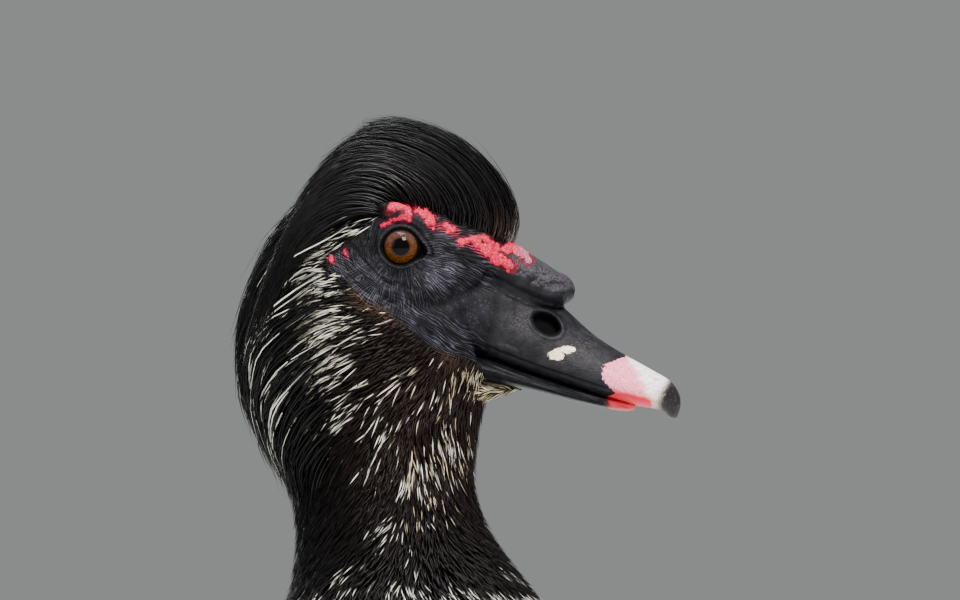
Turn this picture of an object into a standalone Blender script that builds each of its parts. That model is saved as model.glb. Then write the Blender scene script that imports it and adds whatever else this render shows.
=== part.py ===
"""A muscovy drake standing at rest, life size, in metres with +Z up and the bill towards +X.

The body is one long loft of oval sections from the rump to the face, parted into named lengths by
thin gaps. Crest, nape mane, wing and tail feathers are tapered plates fused to the part they grow
from. The origin is on the floor, below the middle of the whole bird.
"""

import math
import random

import bmesh
import bpy
from mathutils import Matrix, Vector
from mathutils.bvhtree import BVHTree

MM = 0.001
GAP = 0.3 * MM
SEED = 41

# Heights and lengths that drive the bird, in mm. The eye is at x = 0 until the bird is centred.
EYE_HEIGHT = 400.0
EYE_BALL_RADIUS = 7.2
EYE_BALL_SIDE = 12.4
LID_RING_RADIUS = 6.0
LID_RING_THICKNESS = 1.6
FOOT_X = -139.0
FOOT_SIDE = 54.0
SHANK_TOP = (-160.0, 54.0, 84.0)
SHANK_FOOT = (-140.0, 54.0, 21.0)
TOE_HEIGHT = 4.2

# Sections of the body from rump to face, in mm: name, top x, top z, bottom x, bottom z, half width,
# how far up the widest place lies as a share, and fullness (2 is an ellipse, more is boxier).
BODY_SECTIONS = (
    ("rump_end", -352, 213, -346, 187, 33, 0.55, 2.2),
    ("rump", -305, 232, -296, 150, 58, 0.55, 2.1),
    ("loin", -240, 248, -226, 108, 82, 0.52, 2.1),
    ("belly", -160, 259, -148, 86, 97, 0.50, 2.1),
    ("back", -90, 267, -62, 90, 101, 0.48, 2.1),
    ("shoulder", -50, 276, 32, 116, 94, 0.46, 2.1),
    ("breast", -36, 290, 74, 160, 77, 0.44, 2.1),
    ("crop", -33, 301, 86, 205, 60, 0.45, 2.0),
    ("neck_root", -32.5, 311, 73, 250, 45, 0.48, 2.0),
    ("neck_low", -33.5, 320, 48, 284, 35, 0.50, 2.0),
    ("neck_mid", -34.5, 330, 29, 309, 29.5, 0.50, 2.0),
    ("neck_high", -37, 341, 22.8, 325, 27, 0.50, 2.0),
    ("nape_low", -41, 354, 23.5, 340, 26, 0.50, 2.0),
    ("nape", -43, 369, 25, 347.5, 25.5, 0.50, 2.0),
    ("nape_high", -41, 386, 26, 351.5, 25, 0.48, 2.0),
    ("hind_head", -35, 402, 26.5, 354, 24, 0.44, 2.0),
    ("hind_crown", -22, 415, 27, 356, 22.5, 0.40, 2.0),
    ("crown", -4, 421, 26.5, 358, 21.5, 0.36, 2.0),
    ("brow", 13, 418.5, 25.5, 360, 20, 0.34, 2.0),
    ("forehead", 27, 410, 24, 361.5, 17.5, 0.34, 2.1),
    ("face_front", 36.5, 399, 21, 362.5, 14, 0.36, 2.2),
)

# The upper bill from the face to the nail, in the same columns.
BILL_UPPER_SECTIONS = (
    ("base", 35, 396, 17, 369.5, 12.6, 0.22, 2.0),
    ("nostril_rear", 45, 386, 31, 364.2, 12.6, 0.20, 1.9),
    ("nostril", 52, 379.6, 42, 360.0, 12.0, 0.20, 1.8),
    ("saddle", 60, 372.4, 52, 356.8, 11.6, 0.22, 1.8),
    ("middle", 69, 366.6, 62, 353.6, 11.9, 0.25, 1.9),
    ("front", 77.5, 361.8, 72, 351.2, 12.0, 0.28, 2.0),
    ("tip_curve", 83.4, 358.2, 79.5, 349.9, 9.6, 0.35, 2.1),
    ("nail", 86.0, 354.2, 83.6, 347.3, 5.2, 0.5, 2.1),
    ("nail_end", 86.4, 351.0, 85.4, 347.0, 2.0, 0.5, 2.0),
)

# The lower bill lies under the upper one, between it and the chin.
BILL_LOWER_SECTIONS = (
    ("base", 16, 367.6, 15, 360.6, 12.2, 0.5, 2.2),
    ("gape", 27, 364.9, 25.5, 358.6, 12.0, 0.5, 2.2),
    ("middle", 42, 359.3, 41, 355.4, 11.0, 0.5, 2.2),
    ("front", 56, 354.7, 55.2, 351.9, 10.2, 0.5, 2.2),
    ("tip", 68, 351.5, 67.6, 349.5, 8.0, 0.5, 2.0),
    ("end", 72.5, 350.4, 72.3, 349.3, 4.0, 0.5, 2.0),
)

# The fleshy knob over the nostrils, from the forehead to its round tip.
KNOB_SECTIONS = (
    ("root", 34.5, 401.0, 24, 388, 11.5, 0.45, 2.0),
    ("rear", 40.5, 397.6, 34, 385.0, 11.0, 0.45, 2.1),
    ("middle", 46.8, 393.6, 43, 382.6, 9.8, 0.45, 2.2),
    ("front", 51.6, 390.0, 50, 382.0, 7.4, 0.48, 2.2),
    ("end", 54.0, 387.4, 53.4, 384.0, 3.2, 0.5, 2.0),
)

# Short feathering under the lower bill.
CHIN_SECTIONS = (
    ("root", 8, 364.0, 8, 344.0, 15, 0.5, 2.0),
    ("middle", 22, 359.6, 22, 350.5, 11, 0.5, 2.0),
    ("front", 34, 357.4, 34, 354.4, 5, 0.5, 2.0),
    ("end", 37.5, 356.6, 37.5, 355.2, 1.6, 0.5, 2.0),
)

# The surface that the folded wing follows, just outside the body's side.
WING_SECTIONS = (
    ("wrist", 52, 232, 52, 160, 78, 0.5, 2.0),
    ("front", 10, 262, 10, 112, 103, 0.5, 2.1),
    ("arm", -70, 274, -70, 96, 110, 0.5, 2.1),
    ("elbow", -150, 269, -150, 96, 107, 0.5, 2.1),
    ("hand", -230, 259, -230, 116, 94, 0.52, 2.1),
    ("hand_end", -300, 250, -300, 152, 70, 0.55, 2.1),
    ("tips", -370, 244, -370, 190, 44, 0.6, 2.0),
    ("past_tips", -420, 242, -420, 208, 30, 0.6, 2.0),
)

TAIL_SECTIONS = (
    ("root", -350, 214, -344, 186, 33, 0.55, 2.2),
    ("middle", -372, 211, -368, 193, 36, 0.55, 2.4),
    ("end", -402, 208.5, -401, 202.5, 34, 0.5, 2.6),
    ("edge", -408, 207, -408, 204, 26, 0.5, 2.4),
)

# Front arc of the raised crest as seen from the side, root to tip, in mm.
CREST_ARC = ((35.5, 402), (36.2, 412), (33.0, 421), (26.5, 429), (17.5, 435), (8.0, 439), (-2.0, 440.5))
# The crest's inner arcs shrink towards this place behind the eye.
CREST_FOCUS = (-24.0, 408.0)
CREST_SIDE = 17.0

# Colours, roughness.
LOOKS = {
    "plumage_black": ((0.013, 0.012, 0.013), 0.5),
    "plumage_gloss": ((0.012, 0.030, 0.024), 0.35),
    "plumage_white": ((0.72, 0.70, 0.64), 0.6),
    "face_skin": ((0.030, 0.030, 0.036), 0.45),
    "caruncle_red": ((0.60, 0.07, 0.09), 0.45),
    "bill_horn": ((0.035, 0.034, 0.040), 0.4),
    "bill_pink": ((0.78, 0.42, 0.46), 0.4),
    "eye_amber": ((0.40, 0.17, 0.03), 0.1),
    "leg_skin": ((0.060, 0.055, 0.045), 0.55),
    "claw_horn": ((0.050, 0.045, 0.040), 0.4),
}


def mix(a, b, t):
    return a + (b - a) * t


def smooth(t):
    t = min(max(t, 0.0), 1.0)
    return t * t * (3 - 2 * t)


def spline(keys, u):
    """Catmull-Rom between rows of numbers. u counts rows from 0."""
    last = len(keys) - 1
    u = min(max(u, 0.0), float(last))
    i = min(int(u), last - 1)
    t = u - i
    rows = [keys[min(max(i + k, 0), last)] for k in (-1, 0, 1, 2)]
    return [
        0.5 * (2 * q + (r - p) * t + (2 * p - 5 * q + 4 * r - s) * t * t + (3 * q - p - 3 * r + s) * t**3)
        for p, q, r, s in zip(*rows)
    ]


class Loft:
    """A tube of upright ovals, each hung between a top and a bottom point on the plane y = 0."""

    STEP = 0.01

    def __init__(self, sections):
        self.names = [row[0] for row in sections]
        self.keys = [[v * MM for v in row[1:6]] + list(row[6:8]) for row in sections]
        self.last = len(self.keys) - 1

    def index(self, name):
        return self.names.index(name)

    def at_x(self, x_mm):
        """The place along the tube where the section's middle is at x, for tubes that run along X."""
        low, high = 0.0, float(self.last)
        falling = self.keys[0][0] > self.keys[-1][0]
        for _ in range(40):
            middle = (low + high) / 2
            row = spline(self.keys, middle)
            ahead = (row[0] + row[2]) / 2 > x_mm * MM
            if ahead == falling:
                low = middle
            else:
                high = middle
        return (low + high) / 2

    def oval(self, u, angle):
        """The point at that angle: 0 is the top, a quarter turn the left side (+Y)."""
        top_x, top_z, low_x, low_z, half, widest, full = spline(self.keys, u)
        top, low = Vector((top_x, 0, top_z)), Vector((low_x, 0, low_z))
        middle = low.lerp(top, widest)
        up, out = math.cos(angle), math.sin(angle)
        reach = abs(up) ** (2 / full)
        point = middle.lerp(top if up >= 0 else low, reach)
        point.y = math.copysign(half * abs(out) ** (2 / full), out)
        return point

    def normal(self, u, angle):
        turn = 0.02
        low, high = max(u - self.STEP, 0.0), min(u + self.STEP, float(self.last))
        along = self.oval(high, angle) - self.oval(low, angle)
        around = self.oval(u, angle + turn) - self.oval(u, angle - turn)
        found = around.cross(along).normalized()
        top_x, top_z, low_x, low_z = spline(self.keys, u)[:4]
        middle = Vector(((top_x + low_x) / 2, 0, (top_z + low_z) / 2))
        return found if found.dot(self.oval(u, angle) - middle) > 0 else -found

    def point(self, u, angle, lift=0.0):
        place = self.oval(u, angle)
        return place + self.normal(u, angle) * lift if lift else place

    def forward(self, u):
        """The section plane's normal, towards the tube's end."""
        top_x, top_z, low_x, low_z = spline(self.keys, u)[:4]
        across = Vector((low_z - top_z, 0, top_x - low_x)).normalized()
        a, b = spline(self.keys, max(u - self.STEP, 0)), spline(self.keys, min(u + self.STEP, self.last))
        run = Vector((b[0] - a[0] + b[2] - a[2], 0, b[1] - a[1] + b[3] - a[3]))
        return across if across.dot(run) > 0 else -across

    def solid(self, first, last, rings, sides, lift=0.0, start=0.0, end=0.0):
        """Points and faces of a closed length. lift swells it, and start and end move its end faces along the tube."""
        points = []
        for ring in range(rings + 1):
            u = mix(first, last, ring / rings)
            shift = self.forward(u) * (start if ring == 0 else end if ring == rings else 0.0)
            points += [self.point(u, math.tau * k / sides, lift) + shift for k in range(sides)]
        faces = []
        for ring in range(rings):
            for k in range(sides):
                a, b = ring * sides + k, ring * sides + (k + 1) % sides
                c, d = b + sides, a + sides
                faces += [(a, b, c), (a, c, d)] if k < sides // 2 else [(a, b, d), (b, c, d)]
        for base in (0, rings * sides):
            centre = len(points)
            points.append(sum((points[base + k] for k in range(sides)), Vector()) / sides)
            for k in range(sides):
                edge = (base + k, base + (k + 1) % sides)
                faces.append((centre, *(edge if base else edge[::-1])))
        return points, faces


def material(name):
    found = bpy.data.materials.get(name)
    if found:
        return found
    colour, roughness = LOOKS[name]
    made = bpy.data.materials.new(name)
    made.use_nodes = True
    shader = made.node_tree.nodes["Principled BSDF"]
    shader.inputs["Base Color"].default_value = (*colour, 1.0)
    shader.inputs["Roughness"].default_value = roughness
    made.diffuse_color = (*colour, 1.0)
    return made


def face_out(mesh):
    """Turns a closed mesh's faces outwards."""
    shape = bmesh.new()
    shape.from_mesh(mesh)
    if shape.calc_volume(signed=True) < 0:
        bmesh.ops.reverse_faces(shape, faces=shape.faces)
    shape.to_mesh(mesh)
    shape.free()


def new_object(name, points, faces, look="plumage_black"):
    mesh = bpy.data.meshes.new(name)
    mesh.from_pydata([tuple(p) for p in points], [], faces)
    mesh.update()
    face_out(mesh)
    mesh.materials.append(material(look))
    made = bpy.data.objects.new(name, mesh)
    bpy.context.scene.collection.objects.link(made)
    return made


def ball(name, centre, radii, turn=None, look="plumage_black", segments=16, rings=10):
    """An ellipsoid. centre and radii are in mm, turn is a rotation matrix."""
    shape = bmesh.new()
    bmesh.ops.create_uvsphere(shape, u_segments=segments, v_segments=rings, radius=MM)
    place = Matrix.Translation(Vector(centre) * MM)
    place = place @ (turn.to_4x4() if turn else Matrix.Identity(4)) @ Matrix.Diagonal((*radii, 1))
    shape.transform(place)
    mesh = bpy.data.meshes.new(name)
    shape.to_mesh(mesh)
    shape.free()
    mesh.materials.append(material(look))
    made = bpy.data.objects.new(name, mesh)
    bpy.context.scene.collection.objects.link(made)
    return made


def ring(name, centre, normal, radius, thickness, look="face_skin"):
    """A torus, such as an eyelid. Sizes in mm."""
    bpy.ops.mesh.primitive_torus_add(
        major_radius=radius * MM, minor_radius=thickness * MM, major_segments=12, minor_segments=4
    )
    made = bpy.context.active_object
    made.name = name
    turn = Vector(normal).to_track_quat("Z", "Y").to_matrix().to_4x4()
    made.data.transform(Matrix.Translation(Vector(centre) * MM) @ turn)
    made.matrix_world = Matrix.Identity(4)
    made.data.materials.append(material(look))
    return made


def box(name, low, high):
    """A plain block between two corners in mm, for cutting."""
    shape = bmesh.new()
    bmesh.ops.create_cube(shape, size=1.0)
    size = [(b - a) * MM for a, b in zip(low, high)]
    middle = [(a + b) / 2 * MM for a, b in zip(low, high)]
    shape.transform(Matrix.Translation(middle) @ Matrix.Diagonal((*size, 1)))
    mesh = bpy.data.meshes.new(name)
    shape.to_mesh(mesh)
    shape.free()
    made = bpy.data.objects.new(name, mesh)
    bpy.context.scene.collection.objects.link(made)
    return made


def tube(name, path, radii, sides=10, look="leg_skin", flat=1.0):
    """A tube along points in mm with a radius at each, and flat ends square to it. flat squashes its height."""
    points, faces = [], []
    path = [Vector(p) * MM for p in path]
    for i, place in enumerate(path):
        run = (path[min(i + 1, len(path) - 1)] - path[max(i - 1, 0)]).normalized()
        side = run.cross(Vector((0, 0, 1)))
        side = side.normalized() if side.length > 0.05 else Vector((0, 1, 0))
        up = side.cross(run).normalized()
        for k in range(sides):
            angle = math.tau * k / sides
            reach = radii[i] * MM
            points.append(place + side * math.cos(angle) * reach + up * math.sin(angle) * reach * flat)
    for i in range(len(path) - 1):
        for k in range(sides):
            a, b = i * sides + k, i * sides + (k + 1) % sides
            faces.append((a, b, b + sides, a + sides))
    last = (len(path) - 1) * sides
    faces.append(tuple(range(sides))[::-1])
    faces.append(tuple(last + k for k in range(sides)))
    return new_object(name, points, faces, look)


def plate(name, rows, look):
    """A thin closed plate. Each row holds (top point, bottom point) pairs, and both faces split alike."""
    wide = len(rows[0])
    points = [pair[0] for row in rows for pair in row] + [pair[1] for row in rows for pair in row]
    under = wide * len(rows)
    faces = []

    def strip(a, b, c, d):
        faces.append((a, b, c))
        faces.append((a, c, d))

    for r in range(len(rows) - 1):
        for c in range(wide - 1):
            a = r * wide + c
            quad = (a, a + 1, a + wide + 1, a + wide)
            strip(*quad)
            faces.append(tuple(under + k for k in (quad[2], quad[1], quad[0])))
            faces.append(tuple(under + k for k in (quad[3], quad[2], quad[0])))
        left, right = r * wide, r * wide + wide - 1
        strip(left + wide, left + wide + under, left + under, left)
        strip(right, right + under, right + wide + under, right + wide)
    for c in range(wide - 1):
        end = (len(rows) - 1) * wide + c
        strip(c, c + under, c + 1 + under, c + 1)
        strip(end + 1, end + 1 + under, end + under, end)
    return new_object(name, points, faces, look)


def lock(name, path, outs, widths, thick, look="plumage_black"):
    """A tapered lock or narrow feather, flat below and ridged above. path, outs: points and outward directions."""
    points, faces = [], []
    last = len(path) - 1
    for i, place in enumerate(path):
        run = (path[min(i + 1, last)] - path[max(i - 1, 0)]).normalized()
        side = run.cross(outs[i]).normalized()
        out = side.cross(run).normalized()
        half, deep = widths[i] / 2, thick * mix(1.0, 0.4, i / last) / 2
        points += [place + side * half - out * deep, place + out * deep, place - side * half - out * deep]
    for i in range(last):
        for k in range(3):
            a, b = i * 3 + k, i * 3 + (k + 1) % 3
            faces += [(a, b, b + 3), (a, b + 3, a + 3)]
    faces += [(2, 1, 0), (last * 3, last * 3 + 1, last * 3 + 2)]
    return new_object(name, points, faces, look)


def vane_width(t, point_share):
    """Half width along a feather as a share: narrow root, full middle, rounded or pointed tip."""
    root = mix(0.45, 1.0, smooth(t / 0.35))
    past = max(0.0, (t - (1 - point_share)) / point_share)
    return root * math.sqrt(max(0.0, 1 - 0.88 * past * past))


def feather_on(guide, name, root, tip, half_width, lifts, rows=3, roll=0.06, thick=0.9, pointed=0.3,
               look="plumage_gloss"):
    """A feather laid on a guide loft from root to tip, each (x mm, angle in degrees).

    lifts are its heights above the guide at the root, a third of the way on and at the tip, in mm. roll tips it so
    that neighbours shingle.
    """
    ends = [(guide.at_x(x), math.radians(angle)) for x, angle in (root, tip)]
    path, outs = [], []
    for i in range(rows + 1):
        t = i / rows
        u, angle = (mix(a, b, t) for a, b in zip(*ends))
        rise = mix(lifts[0], lifts[1], t * 3) if t < 1 / 3 else mix(lifts[1], lifts[2], (t - 1 / 3) * 1.5)
        path.append(guide.point(u, angle, rise * MM))
        outs.append(guide.normal(u, angle))
    table = []
    for i, place in enumerate(path):
        t = i / rows
        run = (path[min(i + 1, rows)] - path[max(i - 1, 0)]).normalized()
        side = run.cross(outs[i]).normalized()
        out = side.cross(run).normalized()
        side = (side * math.cos(roll) + out * math.sin(roll)).normalized()
        out = side.cross(run).normalized()
        half = half_width * MM * vane_width(t, pointed)
        deep = thick * MM * mix(1.0, 0.75, t) / 2
        row = []
        for across in (1, -1):
            middle = place + side * across * half
            row.append((middle + out * deep, middle - out * deep))
        table.append(row)
    return plate(name, table, look)


def evaluated_mesh(obj):
    graph = bpy.context.evaluated_depsgraph_get()
    return bpy.data.meshes.new_from_object(obj.evaluated_get(graph))


def apply_boolean(target, others, operation, solver):
    group = bpy.data.collections.new("operands")
    bpy.context.scene.collection.children.link(group)
    for other in others:
        for home in list(other.users_collection):
            home.objects.unlink(other)
        group.objects.link(other)
    modifier = target.modifiers.new("join", "BOOLEAN")
    modifier.operation = operation
    modifier.operand_type = "COLLECTION"
    modifier.collection = group
    modifier.solver = solver
    made = evaluated_mesh(target)
    target.modifiers.remove(modifier)
    old, target.data = target.data, made
    bpy.data.meshes.remove(old)
    for other in others:
        bpy.data.objects.remove(other)
    bpy.data.collections.remove(group)


def keep_largest(obj):
    """Keeps the largest closed surface, which drops scraps and fills any hollow that fusing sealed."""
    shape = bmesh.new()
    shape.from_mesh(obj.data)
    bmesh.ops.remove_doubles(shape, verts=shape.verts, dist=1e-7)
    left, islands = set(shape.verts), []
    while left:
        island, front = set(), [left.pop()]
        while front:
            vert = front.pop()
            island.add(vert)
            for edge in vert.link_edges:
                other = edge.other_vert(vert)
                if other in left:
                    left.remove(other)
                    front.append(other)
        islands.append(island)

    def reach(island):
        corners = [v.co for v in island]
        return math.prod(max(c[k] for c in corners) - min(c[k] for c in corners) for k in range(3))

    islands.sort(key=reach, reverse=True)
    dropped = [v for island in islands[1:] for v in island]
    bmesh.ops.delete(shape, geom=dropped, context="VERTS")
    bmesh.ops.dissolve_limit(shape, angle_limit=math.radians(0.5), verts=shape.verts, edges=shape.edges)
    shape.to_mesh(obj.data)
    shape.free()
    return len(islands) - 1


def fuse(name, pieces, cutters=(), solver="MANIFOLD"):
    """Joins closed meshes into one body, then cuts the cutters away."""
    body = pieces[0]
    body.name = name
    body.data.name = name
    if len(pieces) > 1:
        apply_boolean(body, pieces[1:], "UNION", solver)
    if cutters:
        apply_boolean(body, list(cutters), "DIFFERENCE", solver)
    keep_largest(body)
    return body


def sharpen(obj, degrees=50):
    obj.data.shade_smooth()
    obj.data.set_sharp_from_angle(angle=math.radians(degrees))


def body_cutter(body, name, first, last, rings, sides, lift=GAP):
    """A swollen copy of a length of the body, which cuts its neighbours clear of it."""
    return new_object(name, *body.solid(first, last, rings, sides, lift, -lift, lift))


def mirrored(obj, name):
    """A copy on the other side of the mid-plane."""
    mesh = obj.data.copy()
    mesh.transform(Matrix.Diagonal((1, -1, 1, 1)))
    mesh.flip_normals()
    made = bpy.data.objects.new(name, mesh)
    bpy.context.scene.collection.objects.link(made)
    return made


class Duck:
    """Builds the parts in one shared frame, with the eyes at x = 0."""

    TORSO_RINGS = 17
    TORSO_SIDES = 22
    NECK_SIDES = 20
    HEAD_RINGS = 16
    HEAD_SIDES = 20

    def __init__(self):
        self.body = Loft(BODY_SECTIONS)
        self.wing_guide = Loft(WING_SECTIONS)
        self.random = random.Random(SEED)
        self.neck_cut = self.body.index("neck_root") + 0.35
        self.nape_cut = self.body.index("neck_high") + 0.1
        self.head_cut = self.body.index("nape") - 0.1

    def torso_cutter(self, name, lift=GAP):
        return body_cutter(self.body, name, 0, self.neck_cut, self.TORSO_RINGS, self.TORSO_SIDES, lift)

    def torso(self):
        made = new_object("torso", *self.body.solid(0, self.neck_cut, self.TORSO_RINGS, self.TORSO_SIDES))
        sharpen(made)
        return made

    def neck_lower(self):
        shape = self.body.solid(self.neck_cut, self.nape_cut, 6, self.NECK_SIDES, start=GAP)
        made = new_object("neck_lower", *shape)
        sharpen(made)
        return made

    def mane_lock(self, name, u, angle, length, width, height):
        """A nape feather: rooted in the loft at (u, angle), trailing towards the body's rear end."""
        path, outs = [], []
        place, rows = u, 3
        step = length / rows
        for i in range(rows + 1):
            t = i / rows
            if i:
                here = self.body.oval(place, angle)
                reach = (self.body.oval(max(place - 0.05, 0), angle) - here).length
                place -= 0.05 * step * MM / max(reach, 1e-6)
            lift = mix(-1.6, height, t**0.8) * MM
            path.append(self.body.point(place, angle, lift))
            outs.append(self.body.normal(place, angle))
        widths = [width * MM * w for w in (0.8, 1.0, 0.85, 0.16)]
        return lock(name, path, outs, widths, 1.5 * MM)

    def mane(self, prefix, first, last, tiers, across, spread, length, tip_lift):
        """Tiers of nape feathers between two places on the loft. spread is how far round they reach, in degrees."""
        made = []
        draw = self.random.uniform
        for tier in range(tiers):
            t = tier / max(tiers - 1, 1)
            u = mix(first, last, t)
            count = across - tier % 2
            reach = mix(spread[0], spread[1], t) * (count - 1) / (across - 1)
            for k in range(count):
                side = mix(-1, 1, k / (count - 1))
                long = mix(length[0], length[1], t) * draw(0.9, 1.1) * mix(1.0, 0.8, abs(side))
                high = mix(tip_lift[0], tip_lift[1], t) * mix(1.0, 0.45, abs(side) ** 1.5) * draw(0.9, 1.08)
                name = f"{prefix}_{tier}_{k}"
                angle = math.radians(reach * side + draw(-2, 2))
                made.append(self.mane_lock(name, u + draw(-0.05, 0.05), angle, long, 8.4, high))
        return made

    def neck_upper(self):
        shape = self.body.solid(self.nape_cut, self.head_cut, 5, self.NECK_SIDES, start=GAP)
        core = new_object("neck_upper", *shape)
        top = self.head_cut - 0.62
        locks = self.mane("nape_lock", top, self.nape_cut + 0.18, 3, 6, (68, 68), (18, 17), (5.5, 4.8))
        below = body_cutter(self.body, "neck_cutter", self.neck_cut, self.nape_cut, 6, self.NECK_SIDES)
        made = fuse("neck_upper", [core, *locks], [below])
        sharpen(made)
        return made

    def crest_point(self, side, depth, s):
        """The crest's surface. side is -1 to 1 across, depth 0 (front) to 1 (behind), s along the feathers."""
        arc = [[v * MM for v in p] for p in CREST_ARC]
        x, z = spline(arc, s * (len(arc) - 1))
        focus_x, focus_z = (v * MM for v in CREST_FOCUS)
        shrink = (1 - 0.82 * depth) * math.sqrt(1 - (0.50 * side) ** 2)
        bow = math.sin(math.pi * min(s * 0.9 + 0.15, 1.0))
        width = CREST_SIDE * MM * mix(0.62, 1.0, bow) * mix(1.0, 0.72, s) * mix(1.0, 1.1, depth)
        edge = math.copysign(abs(side) ** 0.8, side)
        return Vector((mix(focus_x, x, shrink), edge * width * mix(0.85, 1.0, depth), mix(focus_z, z, shrink)))

    def crest_lock(self, name, side, depth, start, end, width, sunk):
        """One crest feather that arches back. sunk is its depth below the crest's surface at each row, in mm."""
        path, outs, rows = [], [], 3
        heart = Vector((-4 * MM, 0, 412 * MM))
        for i in range(rows + 1):
            place = self.crest_point(side, depth, mix(start, end, i / rows))
            out = (place - heart) * Vector((0.55, 1.7 * abs(side) + 0.05, 1.0))
            outs.append(out.normalized())
            path.append(place - outs[-1] * sunk[i] * MM)
        widths = [width * MM * w for w in (0.8, 1.0, 0.85, 0.15)]
        return lock(name, path, outs, widths, 1.7 * MM)

    def crest(self):
        """Layers of crest feathers from the forehead up, each coming out from under the one in front."""
        made = []
        draw = self.random.uniform
        front, later = (2.2, 0.2, 0.0, -0.6), (3.0, 2.6, 0.9, -0.6)
        for layer, (start, end, across) in enumerate(((0.0, 0.60, 5), (0.28, 0.84, 4), (0.52, 1.03, 4))):
            for k in range(across):
                side = mix(-0.82, 0.82, k / (across - 1)) + draw(-0.03, 0.03)
                name = f"crest_front_{layer}_{k}"
                sunk = later if layer else front
                made.append(self.crest_lock(name, side, 0.02, start, end + draw(-0.04, 0.04), 7.6, sunk))
        for side in (-1, 1):
            for layer, (start, end) in enumerate(((0.0, 0.64), (0.38, 1.03))):
                for k in range(4):
                    depth = mix(0.13, 0.80, (k + 0.5 * layer) / 3.5)
                    name = f"crest_side_{side}_{layer}_{k}"
                    edge = side * (0.97 + draw(-0.03, 0.03))
                    sunk = later if layer else front
                    made.append(self.crest_lock(name, edge, depth, start, end + draw(-0.05, 0.05), 8.2, sunk))
        for k in range(2):
            side = mix(-0.45, 0.45, k)
            made.append(self.crest_lock(f"crest_back_{k}", side, 0.34, 0.5, 1.06, 9.6, later))
        return made

    def crest_core(self):
        """The packed lower halves of the crest feathers, at most half way to the tips."""
        turn = Matrix.Rotation(math.radians(14), 3, "Y")
        return ball("crest_core", (7.5, 0, 411), (25.5, 13.0, 17.0), turn, segments=18, rings=10)

    def side_point(self, tree, x, z, side):
        """Where a line along Y from outside meets the head, in mm."""
        start = Vector((x * MM, side * 0.1, z * MM))
        hit = tree.ray_cast(start, Vector((0, -side, 0)))[0]
        return hit / MM

    def caruncles(self, tree):
        """Red skin bulbs over the eye, along the foot of the crest and onto the forehead: x, z, radius in mm."""
        spots = (
            (-4.8, 408.6, 1.8), (0.6, 411.9, 2.3), (7.8, 409.6, 2.4), (14.2, 405.6, 2.2), (19.6, 401.9, 1.9),
            (24.0, 400.2, 2.4), (28.4, 397.2, 2.7), (32.2, 397.6, 2.5),
        )
        made = []
        for side in (-1, 1):
            for k, (x, z, radius) in enumerate(spots):
                centre = self.side_point(tree, x, z, side)
                centre.y -= side * radius * 0.35
                radii = (radius * 1.15, radius, radius)
                name = f"caruncle_{side}_{k}"
                made.append(ball(name, centre, radii, look="caruncle_red", segments=6, rings=4))
        return made

    def head(self):
        body, first, last = self.body, self.head_cut, self.body.last
        core = new_object("head", *body.solid(first, last, self.HEAD_RINGS, self.HEAD_SIDES, start=GAP), look="face_skin")
        tree = BVHTree.FromObject(core, bpy.context.evaluated_depsgraph_get())
        parts = [core, self.crest_core()]
        chin = Loft(CHIN_SECTIONS)
        parts.append(new_object("chin", *chin.solid(0, chin.last, 4, 10)))
        for side in (-1, 1):
            lids = (0.4, side * 17.7, EYE_HEIGHT)
            out = (0.10, side, 0.06)
            parts.append(ring(f"lid_{side}", lids, out, LID_RING_RADIUS, LID_RING_THICKNESS))
            turn = Matrix.Rotation(math.radians(24), 3, "Y")
            ridge = (2.5, side * 14.6, EYE_HEIGHT + 8.6)
            parts.append(ball(f"brow_{side}", ridge, (10.5, 4.0, 3.2), turn, "face_skin", 8, 5))
        parts += self.caruncles(tree)
        parts += self.crest()
        top = self.head_cut
        parts += self.mane("hind_lock", body.index("crown") + 0.15, top + 0.6, 4, 5, (34, 62), (29, 25), (9.5, 7.2))
        cutters = [
            ball(f"socket_{side}", (0, side * EYE_BALL_SIDE, EYE_HEIGHT), [EYE_BALL_RADIUS + 0.3] * 3,
                 segments=14, rings=9)
            for side in (-1, 1)
        ]
        cutters.append(body_cutter(body, "nape_cutter", self.nape_cut, top, 5, self.NECK_SIDES, 0.9 * MM))
        for name, sections, rings, sides in (
            ("upper", BILL_UPPER_SECTIONS, 11, 14), ("lower", BILL_LOWER_SECTIONS, 7, 12), ("knob", KNOB_SECTIONS, 6, 12)
        ):
            loft = Loft(sections)
            cutters.append(new_object(f"{name}_cutter", *loft.solid(0, loft.last, rings, sides, GAP, -GAP, GAP)))
        made = fuse("head", parts, cutters)
        sharpen(made)
        return made

    def eye(self, side, name):
        radii = [EYE_BALL_RADIUS] * 3
        made = ball(name, (0, side * EYE_BALL_SIDE, EYE_HEIGHT), radii, look="eye_amber", segments=14, rings=9)
        sharpen(made)
        return made

    def bill_upper(self):
        loft, knob = Loft(BILL_UPPER_SECTIONS), Loft(KNOB_SECTIONS)
        bill = new_object("bill_upper", *loft.solid(0, loft.last, 11, 14), look="bill_horn")
        lobe = new_object("knob", *knob.solid(0, knob.last, 6, 12), look="bill_horn")
        cutters = []
        for side in (-1, 1):
            turn = Matrix.Rotation(math.radians(35), 3, "Y")
            centre = (44.8, side * 12.4, 376.2)
            cutters.append(ball(f"nostril_{side}", centre, (4.3, 5.4, 3.0), turn, segments=12, rings=8))
        return bill, lobe, cutters

    def bills(self):
        """Upper bill with its knob and nostrils, and lower bill, clear of the head and of each other."""
        bill, lobe, cutters = self.bill_upper()
        upper = fuse("bill_upper", [bill, lobe], cutters)
        loft = Loft(BILL_LOWER_SECTIONS)
        lower = new_object("bill_lower", *loft.solid(0, loft.last, 7, 12), look="bill_horn")
        above = Loft(BILL_UPPER_SECTIONS)
        cutter = new_object("bill_cutter", *above.solid(0, above.last, 11, 14, GAP, -GAP, GAP))
        lower = fuse("bill_lower", [lower], [cutter])
        sharpen(upper)
        sharpen(lower)
        return upper, lower

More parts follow.
